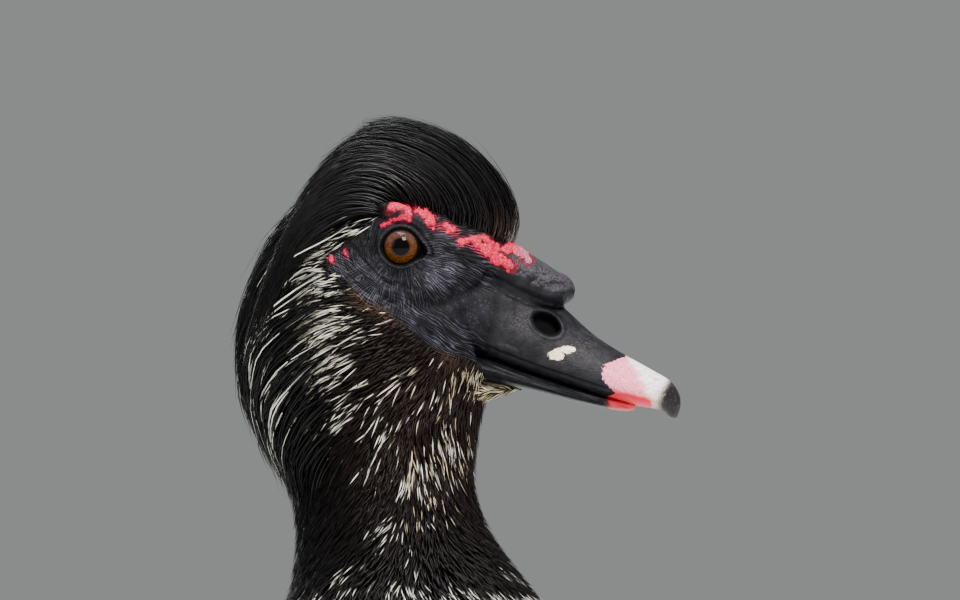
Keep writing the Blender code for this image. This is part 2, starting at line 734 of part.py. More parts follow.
    def wing_core(self):
        """The folded arm and its small coverts: a shell patch on the guide whose edges dive into the body."""
        guide = self.wing_guide
        spans = ((50, 60, 92), (20, 24, 112), (-60, 11, 116), (-150, 10, 112), (-230, 18, 106),
                 (-290, 34, 98), (-322, 50, 90))
        rows, columns = 10, 6
        outer, inner = [], []
        for r in range(rows + 1):
            x, top, low = spline(spans, r / rows * (len(spans) - 1))
            u = guide.at_x(x)
            end = smooth(min(r, rows - r) / 2.5)
            for c in range(columns + 1):
                t = c / columns
                angle = math.radians(mix(top, low, t))
                edge = smooth(min(t, 1 - t) / 0.17)
                lift = mix(-12.0, -1.8, edge * end)
                outer.append(guide.point(u, angle, lift * MM))
                inner.append(guide.point(u, angle, -17.0 * MM))
        wide = columns + 1
        table = [
            [(outer[r * wide + c], inner[r * wide + c]) for c in range(wide)]
            for r in range(rows + 1)
        ]
        return plate("wing_core", table, "plumage_gloss")

    def wing_feathers(self):
        """Feather rows of a folded wing, from the hidden quills out to the short coverts on top."""
        guide, made = self.wing_guide, []
        draw = self.random.uniform

        def row(prefix, count, roots, tips, half, lifts, **looks):
            for k in range(count):
                t = k / (count - 1)
                root = [mix(a, b, t) for a, b in zip(*roots)]
                tip = [mix(a, b, t) + draw(-1.0, 1.0) for a, b in zip(*tips)]
                rise = [lift + draw(-0.1, 0.1) for lift in lifts]
                made.append(feather_on(guide, f"{prefix}_{k}", root, tip, half, rise, **looks))

        row("primary", 4, ((-214, 82), (-270, 71)), ((-322, 82), (-392, 69)), 9.5, (-3.0, 2.8, 1.6), roll=0.10,
            pointed=0.5)
        row("secondary", 6, ((-20, 94), (-192, 82)), ((-116, 117), (-306, 92)), 15.0, (-3.2, 2.6, 1.4), roll=0.10,
            pointed=0.35)
        row("greater_covert", 5, ((28, 72), (-156, 64)), ((-60, 102), (-244, 85)), 19.0, (-2.6, 5.4, 4.6), roll=0.05,
            pointed=0.4)
        row("median_covert", 5, ((38, 54), (-128, 48)), ((-30, 82), (-196, 68)), 18.0, (-2.4, 7.2, 6.4), roll=0.05,
            pointed=0.45, look="plumage_white")
        row("scapular", 3, ((-4, 30), (-98, 25)), ((-82, 49), (-190, 40)), 21.0, (-3.6, 6.8, 6.4), roll=0.05,
            pointed=0.5)
        row("tertial", 3, ((-120, 54), (-168, 34)), ((-262, 69), (-306, 48)), 18.0, (-2.6, 6.2, 5.2), roll=0.06,
            pointed=0.45)
        return made

    def wing(self):
        made = fuse("wing_left", [self.wing_core(), *self.wing_feathers()], [self.torso_cutter("torso_cutter")])
        sharpen(made, 35)
        return made

    def tail_feather(self, name, turn, length, half, height, droop):
        """A tail quill from the tail's root, turned outwards by an angle in degrees."""
        angle = math.radians(turn)
        root = Vector((-352, math.sin(angle) * 26, height))
        run = Vector((-math.cos(angle), math.sin(angle), 0))
        side = Vector((math.sin(angle), math.cos(angle), 0))
        table, rows = [], 3
        for i in range(rows + 1):
            t = i / rows
            bend = Vector((0, 0, droop * t * t + 0.018 * length * t))
            centre = (root + run * length * t + bend) * MM
            width = half * MM * vane_width(t, 0.28)
            row = []
            for across in (1, -1):
                middle = centre + side * across * width
                deep = Vector((0, 0, 0.35 * MM))
                row.append((middle + deep, middle - deep))
            table.append(row)
        return plate(name, table, "plumage_gloss")

    def tail(self):
        loft = Loft(TAIL_SECTIONS)
        core = new_object("tail", *loft.solid(0, loft.last, 5, 20), look="plumage_black")
        parts = [core]
        pairs = 5
        for k in range(pairs):
            turn = mix(2.2, 20.0, k / (pairs - 1))
            length = mix(152, 126, (k / (pairs - 1)) ** 1.5)
            height = mix(208.6, 203.0, k / (pairs - 1))
            for side in (-1, 1):
                offset = 0.7 * (side > 0)
                parts.append(self.tail_feather(f"quill_{k}_{side}", side * turn, length, 19.0, height - offset, 5))
        for k in range(3):
            turn = mix(-11, 11, k / 2)
            long = 74 - abs(turn)
            parts.append(self.tail_feather(f"tail_covert_{k}", turn, long, 19, 212.0 - 0.12 * abs(turn), -2))
        made = fuse("tail", parts, [self.torso_cutter("torso_cutter")])
        sharpen(made, 35)
        return made

    def thigh(self):
        """The feathered drumstick, cut clear of the body's side."""
        path = ((-108, 46, 158), (-118, 50, 138), (-132, 54, 118), (-148, 54.5, 100), SHANK_TOP)
        shape = tube("thigh_left", path, (30, 34, 30, 19, 8.6), 18, "plumage_black")
        cutters = [self.torso_cutter("torso_cutter"), self.shank_tube("shank_cutter", 0.3)]
        made = fuse("thigh_left", [shape], cutters)
        sharpen(made)
        return made

    def shank_tube(self, name, swell=0.0):
        """The bare tarsus from the ankle to just above the foot. swell thickens and lengthens it, in mm."""
        top, foot = Vector(SHANK_TOP), Vector(SHANK_FOOT)
        run = (foot - top).normalized()
        points = [top.lerp(foot, t) for t in (0, 0.14, 0.3, 0.55, 0.8, 0.92, 1)]
        points[0] -= run * swell
        points[-1] += run * swell
        radii = [r + swell for r in (7.6, 7.8, 6.4, 5.8, 5.9, 6.8, 7.0)]
        return tube(name, points, radii, 12)

    def shank(self):
        made = self.shank_tube("shank_left")
        sharpen(made)
        return made

    def toe_paths(self):
        """Name: points in mm and radii, from the foot's root to each claw."""
        x, y, z = FOOT_X, FOOT_SIDE, TOE_HEIGHT
        paths = {}
        for name, turn, length in (("middle", -2, 60), ("outer", 25, 55), ("inner", -30, 44)):
            angle = math.radians(turn)
            run = Vector((math.cos(angle), math.sin(angle), 0))
            root = Vector((x + 2, y, z + 1.6)) + run * 2
            path = [root + run * length * t + Vector((0, 0, lift)) for t, lift in
                    ((0, 0), (0.4, -0.6), (0.8, -1.4), (1, -1.6))]
            paths[name] = (path, (5.6, 5.0, 4.2, 3.5))
        back = math.radians(196)
        run = Vector((math.cos(back), math.sin(back), 0))
        root = Vector((x - 2, y, z + 3.5))
        path = [root + run * 15 * t + Vector((0, 0, -2.4 * t)) for t in (0, 0.5, 1)]
        paths["hind"] = (path, (4.4, 3.6, 3.0))
        return paths

    def web(self, name, first, second):
        """The web between two toes: a thin plate with a hollow front edge."""
        table, rows = [], 3
        height = 2.4
        for i in range(rows + 1):
            t = i / rows
            row = []
            for c in range(5):
                s = c / 4
                reach = mix(0.06, mix(0.93, 0.76, math.sin(math.pi * s)), t)
                a = first[0][0].lerp(first[0][-1], reach)
                b = second[0][0].lerp(second[0][-1], reach)
                place = a.lerp(b, s)
                place.z = height
                row.append(((place + Vector((0, 0, 0.8))) * MM, (place - Vector((0, 0, 0.8))) * MM))
            table.append(row)
        return plate(name, table, "leg_skin")

    def foot(self):
        paths = self.toe_paths()
        top, low = Vector(SHANK_TOP), Vector(SHANK_FOOT)
        run = (low - top).normalized()
        boss = [low + run * 0.3, low + run * 6, low + run * 13]
        parts = [tube("foot_left", boss, (7.0, 7.2, 5.8), 12)]
        parts += [tube(f"toe_{name}", path, radii, 8, flat=0.95) for name, (path, radii) in paths.items()]
        parts.append(ball("sole_pad", (FOOT_X + 2, FOOT_SIDE, TOE_HEIGHT + 0.6), (9.0, 7.6, 5.6), None, "leg_skin", 8, 5))
        parts.append(self.web("web_outer", paths["middle"], paths["outer"]))
        parts.append(self.web("web_inner", paths["inner"], paths["middle"]))
        floor = box("floor_cutter", (FOOT_X - 60, -20, -30), (FOOT_X + 120, 140, 0))
        made = fuse("foot_left", parts, [floor])
        sharpen(made, 35)
        return made

    def claws(self):
        """A curved claw at the end of each toe."""
        made = []
        for name, (path, radii) in self.toe_paths().items():
            run = (path[-1] - path[-2]).normalized()
            start = path[-1] + run * 0.45
            size = 8.5 if name == "hind" else 10.5
            drop = start.z + run.z * size - 1.2
            points = [start + run * size * t - Vector((0, 0, drop * t * t)) for t in (0, 0.35, 0.7, 1)]
            wide = [radii[-1] * r for r in (0.88, 0.7, 0.4, 0.1)]
            claw = tube(f"claw_{name}_left", points, wide, 8, "claw_horn", flat=0.82)
            sharpen(claw)
            made.append(claw)
        return made


def centre_on_floor(parts):
    """Moves every part so that the origin is on the floor below the middle of their common box."""
    corners = [v.co for part in parts for v in part.data.vertices]
    low = [min(c[k] for c in corners) for k in range(3)]
    high = [max(c[k] for c in corners) for k in range(3)]
    shift = Vector((-(low[0] + high[0]) / 2, -(low[1] + high[1]) / 2, -low[2]))
    for part in parts:
        part.data.transform(Matrix.Translation(shift))


def main():
    for obj in list(bpy.data.objects):
        bpy.data.objects.remove(obj)
    duck = Duck()
    parts = [duck.torso(), duck.neck_lower(), duck.neck_upper(), duck.head()]
    parts += [duck.eye(1, "eye_left"), duck.eye(-1, "eye_right"), *duck.bills(), duck.tail()]
    pairs = [duck.wing(), duck.thigh(), duck.shank(), duck.foot(), *duck.claws()]
    parts += pairs
    parts += [mirrored(part, part.name.replace("left", "right")) for part in pairs]
    home = bpy.data.collections.new("muscovy_duck")
    bpy.context.scene.collection.children.link(home)
    for part in parts:
        for old in list(part.users_collection):
            old.objects.unlink(part)
        home.objects.link(part)
    centre_on_floor(parts)


main()
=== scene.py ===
"""The looks of the muscovy drake: skin, eyes, feathers, materials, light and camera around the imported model.

Sizes are in mm in the design frame of the CAD source, with the eyes at x = 0 and z = 400 and the bill
towards +X. world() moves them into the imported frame, in metres.
"""

import math

import bmesh
import bpy
import numpy as np
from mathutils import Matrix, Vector

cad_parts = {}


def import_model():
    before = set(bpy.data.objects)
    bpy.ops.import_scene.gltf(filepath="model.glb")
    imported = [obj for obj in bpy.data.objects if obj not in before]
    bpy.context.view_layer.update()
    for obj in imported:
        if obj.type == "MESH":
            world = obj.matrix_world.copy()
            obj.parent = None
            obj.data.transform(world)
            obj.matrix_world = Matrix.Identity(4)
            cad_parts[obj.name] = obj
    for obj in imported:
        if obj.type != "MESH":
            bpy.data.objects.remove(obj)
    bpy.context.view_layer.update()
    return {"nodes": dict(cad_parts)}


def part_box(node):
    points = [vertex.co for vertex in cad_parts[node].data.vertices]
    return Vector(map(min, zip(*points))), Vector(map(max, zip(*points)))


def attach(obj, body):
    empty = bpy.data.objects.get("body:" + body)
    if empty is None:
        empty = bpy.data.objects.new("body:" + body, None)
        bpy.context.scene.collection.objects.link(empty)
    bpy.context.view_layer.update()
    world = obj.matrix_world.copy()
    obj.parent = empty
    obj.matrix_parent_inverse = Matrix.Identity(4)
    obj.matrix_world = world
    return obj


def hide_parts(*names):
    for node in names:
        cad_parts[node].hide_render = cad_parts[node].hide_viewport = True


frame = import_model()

MM = 0.001
EYE_HEIGHT = 400.0
SEED = 77

# Sections of the body from rump to face, as in the CAD source: top x, top z, bottom x, bottom z,
# half width, how far up the widest place lies as a share, and fullness.
BODY_SECTIONS = (
    (-352, 213, -346, 187, 33, 0.55, 2.2),
    (-305, 232, -296, 150, 58, 0.55, 2.1),
    (-240, 248, -226, 108, 82, 0.52, 2.1),
    (-160, 259, -148, 86, 97, 0.50, 2.1),
    (-90, 267, -62, 90, 101, 0.48, 2.1),
    (-50, 276, 32, 116, 94, 0.46, 2.1),
    (-36, 290, 74, 160, 77, 0.44, 2.1),
    (-33, 301, 86, 205, 60, 0.45, 2.0),
    (-32.5, 311, 73, 250, 45, 0.48, 2.0),
    (-33.5, 320, 48, 284, 35, 0.50, 2.0),
    (-34.5, 330, 29, 309, 29.5, 0.50, 2.0),
    (-37, 341, 22.8, 325, 27, 0.50, 2.0),
    (-41, 354, 23.5, 340, 26, 0.50, 2.0),
    (-43, 369, 25, 347.5, 25.5, 0.50, 2.0),
    (-41, 386, 26, 351.5, 25, 0.48, 2.0),
    (-35, 402, 26.5, 354, 24, 0.44, 2.0),
    (-22, 415, 27, 356, 22.5, 0.40, 2.0),
    (-4, 421, 26.5, 358, 21.5, 0.36, 2.0),
    (13, 418.5, 25.5, 360, 20, 0.34, 2.0),
    (27, 410, 24, 361.5, 17.5, 0.34, 2.1),
    (36.5, 399, 21, 362.5, 14, 0.36, 2.2),
)
BILL_UPPER_SECTIONS = (
    (23, 405, 3, 375, 10.5, 0.25, 2.0),
    (35, 396, 17, 369.5, 12.6, 0.22, 2.0),
    (45, 386, 31, 364.2, 12.6, 0.20, 1.9),
    (52, 379.6, 42, 360.0, 12.0, 0.20, 1.8),
    (60, 372.4, 52, 356.8, 11.6, 0.22, 1.8),
    (69, 366.6, 62, 353.6, 11.9, 0.25, 1.9),
    (77.5, 361.8, 72, 351.2, 12.0, 0.28, 2.0),
    (83.4, 358.2, 79.5, 349.9, 9.6, 0.35, 2.1),
    (86.0, 354.2, 83.6, 347.3, 5.2, 0.5, 2.1),
    (86.4, 351.0, 85.4, 347.0, 2.0, 0.5, 2.0),
)
BILL_LOWER_SECTIONS = (
    (16, 367.6, 15, 360.6, 12.2, 0.5, 2.2),
    (27, 364.9, 25.5, 358.6, 12.0, 0.5, 2.2),
    (42, 359.3, 41, 355.4, 11.0, 0.5, 2.2),
    (56, 354.7, 55.2, 351.9, 10.2, 0.5, 2.2),
    (68, 351.5, 67.6, 349.5, 8.0, 0.5, 2.0),
    (72.5, 350.4, 72.3, 349.3, 4.0, 0.5, 2.0),
)
KNOB_SECTIONS = (
    (17, 411, 11, 390, 11.5, 0.45, 2.0),
    (34.5, 401.0, 24, 391, 11.5, 0.45, 2.0),
    (40.5, 397.6, 34, 386.0, 11.0, 0.45, 2.1),
    (46.8, 393.6, 43, 382.6, 9.8, 0.45, 2.2),
    (51.6, 390.0, 50, 382.0, 7.4, 0.48, 2.2),
    (54.0, 387.4, 53.4, 384.0, 3.2, 0.5, 2.0),
)
CHIN_SECTIONS = (
    (8, 364.0, 8, 344.0, 15, 0.5, 2.0),
    (22, 359.6, 22, 350.5, 11, 0.5, 2.0),
    (34, 357.4, 34, 354.4, 5, 0.5, 2.0),
    (37.5, 356.6, 37.5, 355.2, 1.6, 0.5, 2.0),
)

eye_low, eye_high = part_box("eye_right")
SHIFT = np.array([(eye_low.x + eye_high.x) / 2 / MM, 0.0, (eye_low.z + eye_high.z) / 2 / MM - EYE_HEIGHT])


def world(points):
    """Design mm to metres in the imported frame."""
    return (np.asarray(points, float) + SHIFT) * MM


def design(points):
    """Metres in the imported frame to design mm."""
    return np.asarray(points, float) / MM - SHIFT


def smooth(low, high, value):
    """Smooth step from 0 at low to 1 at high."""
    t = np.clip((value - low) / (high - low), 0, 1)
    return t * t * (3 - 2 * t)


def mix(a, b, t):
    return a + (b - a) * t


def bump(value, width):
    return np.exp(-((value / width) ** 2))


def swelling(x, z, middle_x, middle_z, reach_x, reach_z):
    """A round hill of height 1 in the side view."""
    return np.exp(-(((x - middle_x) / reach_x) ** 2) - ((z - middle_z) / reach_z) ** 2)


def oval_distance(x, z, middle_x, middle_z, reach_x, reach_z):
    """Distance in the side view from the middle of an oval, 1 on its edge."""
    return np.hypot((x - middle_x) / reach_x, (z - middle_z) / reach_z)


def dot(a, b):
    return (a * b).sum(-1)


def unit(vectors):
    return vectors / np.maximum(np.linalg.norm(vectors, axis=-1, keepdims=True), 1e-9)


def spline(keys, u):
    """Catmull-Rom between rows of numbers, for an array of places u that count rows from 0."""
    keys = np.asarray(keys, float)
    last = len(keys) - 1
    u = np.clip(np.asarray(u, float), 0, last)
    i = np.minimum(u.astype(int), last - 1)
    t = (u - i)[..., None]
    p, q, r, s = (keys[np.clip(i + k, 0, last)] for k in (-1, 0, 1, 2))
    return 0.5 * (2 * q + (r - p) * t + (2 * p - 5 * q + 4 * r - s) * t * t + (3 * q - p - 3 * r + s) * t**3)


def ring_faces(rings, sides):
    """Quads between rings of points, and a cap at each end."""
    i, k = np.meshgrid(np.arange(rings), np.arange(sides), indexing="ij")
    a, b = i * sides + k, i * sides + (k + 1) % sides
    faces = np.stack([a, b, b + sides, a + sides], -1).reshape(-1, 4).tolist()
    return faces + [list(range(sides))[::-1], [rings * sides + k for k in range(sides)]]


def ball_faces(rings, segments):
    """Faces of a ball whose rings of points lie between two poles, its first and last point."""
    faces = [(0, 1 + k, 1 + (k + 1) % segments) for k in range(segments)]
    for i in range(rings - 1):
        for k in range(segments):
            a, b = 1 + i * segments + k, 1 + i * segments + (k + 1) % segments
            faces.append((a, a + segments, b + segments, b))
    end = 1 + (rings - 1) * segments
    return faces + [(end + (k + 1) % segments, end + k, end + segments) for k in range(segments)]


class Surface:
    """What feathers are laid on: point() and normal() at a place u along it and an angle round it."""

    NUDGE = 0.04

    def slopes(self, u, angle):
        """How the point moves with u and with the angle."""
        low, high = np.clip(u - self.NUDGE, 0, self.last), np.clip(u + self.NUDGE, 0, self.last)
        along = (self.point(high, angle) - self.point(low, angle)) / (high - low)[..., None]
        turned = self.point(u, angle + self.NUDGE) - self.point(u, angle - self.NUDGE)
        return along, turned / (2 * self.NUDGE)


class Loft(Surface):
    """A tube of upright ovals, each hung between a top and a bottom point on the plane y = 0."""

    FINE = 24
    TURN = 180

    def __init__(self, sections):
        self.keys = np.array(sections, float)
        self.last = len(sections) - 1
        us = np.linspace(0, self.last, self.last * self.FINE + 1)
        angles = np.linspace(0, 2 * math.pi, self.TURN + 1)
        self.places = self.oval(us[:, None], angles[None, :])
        along = np.gradient(self.places, axis=0)
        around = np.gradient(self.places, axis=1)
        around[:, 0] = around[:, -1] = self.places[:, 1] - self.places[:, -2]
        normals = unit(np.cross(around, along))
        outward = ((self.places - self.places.mean(axis=1, keepdims=True)) * normals).sum() >= 0
        self.normals = normals if outward else -normals

    def oval(self, u, angle):
        """The point at that angle: 0 is the top, a quarter turn the left side (+Y)."""
        u, angle = np.broadcast_arrays(u, angle)
        row = spline(self.keys, u)
        top = np.stack([row[..., 0], row[..., 2] * 0, row[..., 1]], -1)
        low = np.stack([row[..., 2], row[..., 2] * 0, row[..., 3]], -1)
        middle = low + (top - low) * row[..., 5:6]
        up, out = np.cos(angle), np.sin(angle)
        reach = np.abs(up) ** (2 / row[..., 6])
        point = middle + (np.where((up >= 0)[..., None], top, low) - middle) * reach[..., None]
        point[..., 1] = np.sign(out) * row[..., 4] * np.abs(out) ** (2 / row[..., 6])
        return point

    def look_up(self, table, u, angle):
        """Values of a table of the loft between its rows and columns."""
        fu = np.clip(u, 0, self.last - 1e-6) * self.FINE
        fa = np.mod(angle, 2 * math.pi) / (2 * math.pi) * self.TURN
        i, j = fu.astype(int), np.minimum(fa.astype(int), self.TURN - 1)
        s, t = (fu - i)[..., None], (fa - j)[..., None]
        a = table[i, j] * (1 - t) + table[i, j + 1] * t
        b = table[i + 1, j] * (1 - t) + table[i + 1, j + 1] * t
        return a * (1 - s) + b * s

    def point(self, u, angle):
        return self.look_up(self.places, u, angle)

    def normal(self, u, angle):
        return unit(self.look_up(self.normals, u, angle))

    def at_x(self, x):
        """The place along the tube where the section's middle is at x."""
        us = np.linspace(0, self.last, 400)
        row = spline(self.keys, us)
        middles = (row[:, 0] + row[:, 2]) / 2
        order = np.argsort(middles)
        return np.interp(x, middles[order], us[order])

    def tube(self, first, last, rings, sides, lift=0.0):
        """Points and faces of a closed length, lifted by a number or by a function of u and angle."""
        us = np.linspace(first, last, rings + 1)[:, None]
        angles = (np.arange(sides) * 2 * math.pi / sides)[None, :]
        us, angles = np.broadcast_arrays(us, angles)
        rise = lift(us, angles) if callable(lift) else np.full(us.shape, float(lift))
        points = self.point(us, angles) + self.normal(us, angles) * rise[..., None]
        return points.reshape(-1, 3), ring_faces(rings, sides)


def link(obj):
    bpy.context.scene.collection.objects.link(obj)
    return obj


def new_object(name, points, faces):
    """A smooth mesh object from design mm. faces is a list, or an array of triangles."""
    mesh = bpy.data.meshes.new(name)
    places = world(points).astype(np.float32)
    if isinstance(faces, np.ndarray):
        mesh.vertices.add(len(places))
        mesh.vertices.foreach_set("co", places.ravel())
        mesh.loops.add(faces.size)
        mesh.loops.foreach_set("vertex_index", faces.astype(np.int32).ravel())
        mesh.polygons.add(len(faces))
        mesh.polygons.foreach_set("loop_start", np.arange(0, faces.size, 3, dtype=np.int32))
        mesh.update(calc_edges=True)
    else:
        mesh.from_pydata(places.tolist(), [], faces)
        mesh.update()
    mesh.shade_smooth()
    return link(bpy.data.objects.new(name, mesh))


def points_of(obj):
    flat = np.empty(len(obj.data.vertices) * 3, np.float32)
    obj.data.vertices.foreach_get("co", flat)
    return design(flat.reshape(-1, 3))


def set_points(obj, points):
    obj.data.vertices.foreach_set("co", world(points).astype(np.float32).ravel())
    obj.data.update()


def normals_of(obj):
    flat = np.empty(len(obj.data.vertices) * 3, np.float32)
    obj.data.vertex_normals.foreach_get("vector", flat)
    return flat.reshape(-1, 3).astype(float)


def raised(obj, rise):
    """Moves each point along its normal by rise in mm."""
    set_points(obj, points_of(obj) + normals_of(obj) * rise[:, None])
    return obj


def applied(obj):
    """Applies the object's modifiers to its mesh."""
    graph = bpy.context.evaluated_depsgraph_get()
    made = bpy.data.meshes.new_from_object(obj.evaluated_get(graph))
    obj.modifiers.clear()
    old, obj.data = obj.data, made
    bpy.data.meshes.remove(old)
    obj.vertex_groups.clear()
    return obj


def face_out(obj, agree=False):
    """Turns the faces of a closed mesh outwards. agree first makes them all face one way."""
    shape = bmesh.new()
    shape.from_mesh(obj.data)
    if agree:
        bmesh.ops.recalc_face_normals(shape, faces=shape.faces)
    if shape.calc_volume(signed=True) < 0:
        bmesh.ops.reverse_faces(shape, faces=shape.faces)
    shape.to_mesh(obj.data)
    shape.free()
    return obj


def joined(objects):
    """One object of several, with their meshes side by side."""
    shape = bmesh.new()
    for obj in objects:
        shape.from_mesh(obj.data)
    shape.to_mesh(objects[0].data)
    shape.free()
    for obj in objects[1:]:
        bpy.data.objects.remove(obj)
    return objects[0]


def tube_piece(name, loft, *extent):
    """A closed length of a loft as an object."""
    return face_out(new_object(name, *loft.tube(*extent)))


def weigh(obj, share):
    """Stores share in quarters as a vertex group and gives its name."""
    group = obj.vertex_groups.new(name="share")
    for level in range(1, 5):
        group.add(np.nonzero(np.round(share * 4) == level)[0].tolist(), level / 4, "REPLACE")
    return group.name


def relaxed(obj, rounds, factor=0.5, share=None):
    """Smooths a mesh, or the part of it where share is near 1."""
    relax = obj.modifiers.new("relax", "SMOOTH")
    relax.factor = factor
    relax.iterations = rounds
    if share is not None:
        relax.vertex_group = weigh(obj, share)
    return applied(obj)


def thinned(obj, ratio, loose=None):
    """Fewer triangles, taken first where loose is 1."""
    thin = obj.modifiers.new("thin", "DECIMATE")
    thin.ratio = ratio
    if loose is not None:
        thin.vertex_group = weigh(obj, loose)
        thin.vertex_group_factor = 1.0
    return applied(obj)


def voxels(obj, size, rounds):
    """Closed fine mesh round the object's volume, smoothed."""
    remesh = obj.modifiers.new("remesh", "REMESH")
    remesh.mode = "VOXEL"
    remesh.voxel_size = size * MM
    remesh.use_smooth_shade = True
    return relaxed(obj, rounds)


def ellipsoid(name, centre, radii, pitch, segments=48, rings=24):
    """An ellipsoid in mm, pitched nose down by an angle in degrees."""
    theta = np.linspace(0, math.pi, rings + 1)[1:-1, None]
    phi = (np.arange(segments) * 2 * math.pi / segments)[None, :]
    ball = np.stack([np.sin(theta) * np.cos(phi), np.sin(theta) * np.sin(phi), np.cos(theta) + 0 * phi], -1)
    ball = np.concatenate([[[0, 0, 1.0]], ball.reshape(-1, 3), [[0, 0, -1.0]]]) * np.array(radii)
    c, s = math.cos(math.radians(pitch)), math.sin(math.radians(pitch))
    x, y, z = ball.T
    turned = np.stack([x * c + z * s, y, -x * s + z * c], -1)
    return face_out(new_object(name, turned + np.array(centre), ball_faces(rings - 1, segments)))


BODY = Loft(BODY_SECTIONS)
BILL_UPPER = Loft(BILL_UPPER_SECTIONS)
BILL_LOWER = Loft(BILL_LOWER_SECTIONS)
KNOB = Loft(KNOB_SECTIONS)
CHIN = Loft(CHIN_SECTIONS)

EYE_BALL_RADIUS = 7.2
EYE_BALL_SIDE = 12.4
FACE_VOXEL = 0.44

# Outline of the bare skin seen from the side: along the foot of the crest, then the rear edge to the mouth.
BARE_FACE = np.array((
    (37, 402.5), (34.9, 401.6), (27.9, 402.6), (17.8, 405.0), (11.9, 409.2), (4.5, 413.4), (-2.5, 414.2),
    (-4.6, 410.6), (-12, 404.9), (-18.9, 399.8), (-22.6, 396.0), (-21, 392.4), (-16.2, 389.7), (-11.1, 384.1),
    (-4.4, 381.0), (1.6, 375.8), (8.7, 370.0), (15.4, 366.8), (19.5, 366.0), (31, 362.2), (42, 358.0),
    (52, 354.6), (62, 351.0), (72, 346), (95, 340), (95, 400), (60, 400),
))
# Red caruncles: centre lines in x, z with a half width, each grown over with small bulbs.
CARUNCLES = (
    (((-3.8, 411.2), (-1.6, 413.0), (1.2, 412.6), (2.4, 409.8), (1.4, 408.6)), 1.45),
    (((-5.6, 406.4), (-3.0, 407.9), (0.4, 408.9)), 0.62),
    (((4.8, 412.0), (7.2, 410.6), (9.4, 408.6), (10.2, 406.6)), 1.6),
    (((13.8, 406.4), (16.4, 404.8)), 1.5),
    (((20.6, 402.4), (18.4, 401.4)), 1.2),
    (((23.0, 401.4), (26.0, 399.0), (29.6, 396.4), (34.2, 394.0)), 1.9),
    (((25.0, 403.2), (27.8, 401.4), (30.4, 399.6)), 1.1),
    (((32.0, 398.6), (34.6, 401.0), (37.2, 398.4), (39.4, 395.8)), 1.5),
    (((-17.4, 399.4), (-16.9, 397.2)), 0.45),
    (((-21.8, 396.8), (-21.2, 395.8)), 0.85),
)
FOLD = ((27, 389.6), (30, 387.8), (34, 385.6), (40, 383.0), (49, 381.6))
NOSTRIL = (44.9, 376.2)
NOSTRIL_AXES = (5.1, 3.35)
NOSTRIL_TILT = math.radians(35)
# Folds behind the eye: height in mm, negative for a furrow, half width, and the line in x, z.
EYE_FOLDS = (
    (-0.5, 0.7, ((-14, 399), (-10, 393.5), (-4, 388.6), (5, 386))),
    (0.35, 0.9, ((-15.5, 397.5), (-11.5, 391.8), (-5, 386.6))),
    (-0.45, 0.55, ((-17.5, 394.5), (-14.5, 389), (-9.5, 385))),
    (-0.45, 0.55, ((-9.5, 404.5), (-12.0, 399.5), (-11.2, 394.5))),
)
POUCH_EDGE = ((-4, 383.4), (1, 381.8), (6, 381.5), (13.5, 382.4), (19.5, 384.8), (25, 387.8))
LORE_RIDGE = ((9, 404), (15, 400.2), (21, 397.2), (27, 392.5))
FOLD_RIDGE = ((27.5, 392.8), (32, 390.8), (39, 387.2), (48, 385.4))
GAPE_FURROW = ((24.5, 373.6), (30, 371.2), (36, 368.8))
BILL_ROOT = (
    (27.4, 397), (26.8, 392.5), (24.8, 390.2), (21.8, 388), (20.7, 383.6), (20.9, 376.9), (22.4, 369.8),
)
UPPER_EDGE = ((20, 31, 42, 52, 62, 72), (369, 364.2, 360, 356.8, 353.6, 351.2))
LOWER_EDGE = ((20, 31, 42, 52, 62, 73), (369, 364.2, 360, 356.8, 353.4, 350.8))
LID_RADIUS = 5.6
SIDES = ((-1, "right"), (1, "left"))


def mirrored(side):
    return np.array((1, side, 1))


def from_line(x, z, line):
    """Distance to a polyline."""
    nearest = np.full(x.shape, 1e9)
    for (ax, az), (bx, bz) in zip(line[:-1], line[1:]):
        run_x, run_z = bx - ax, bz - az
        t = np.clip(((x - ax) * run_x + (z - az) * run_z) / (run_x**2 + run_z**2), 0, 1)
        nearest = np.minimum(nearest, np.hypot(x - ax - t * run_x, z - az - t * run_z))
    return nearest


def inside(x, z, outline):
    """Signed distance in mm to a closed outline, positive inside."""
    closed = np.concatenate([outline, outline[:1]])
    odd = np.zeros(x.shape, bool)
    for (ax, az), (bx, bz) in zip(closed[:-1], closed[1:]):
        if bz != az:
            odd ^= ((az > z) != (bz > z)) & (x < ax + (z - az) * (bx - ax) / (bz - az))
    nearest = from_line(x, z, closed)
    return np.where(odd, nearest, -nearest)


def eye_polar(x, z):
    """Distance from the eye's centre, direction from it with 0 to the front, distance past the lid's edge."""
    away = np.hypot(x, z - EYE_HEIGHT)
    turn = np.arctan2(z - EYE_HEIGHT, x)
    front = np.angle(np.exp(1j * (turn + math.radians(13))))
    rear = np.angle(np.exp(1j * (turn - math.pi)))
    opening = LID_RADIUS + 2.3 * bump(front, math.radians(22)) + 0.35 * bump(rear, math.radians(28))
    return away, turn, away - opening


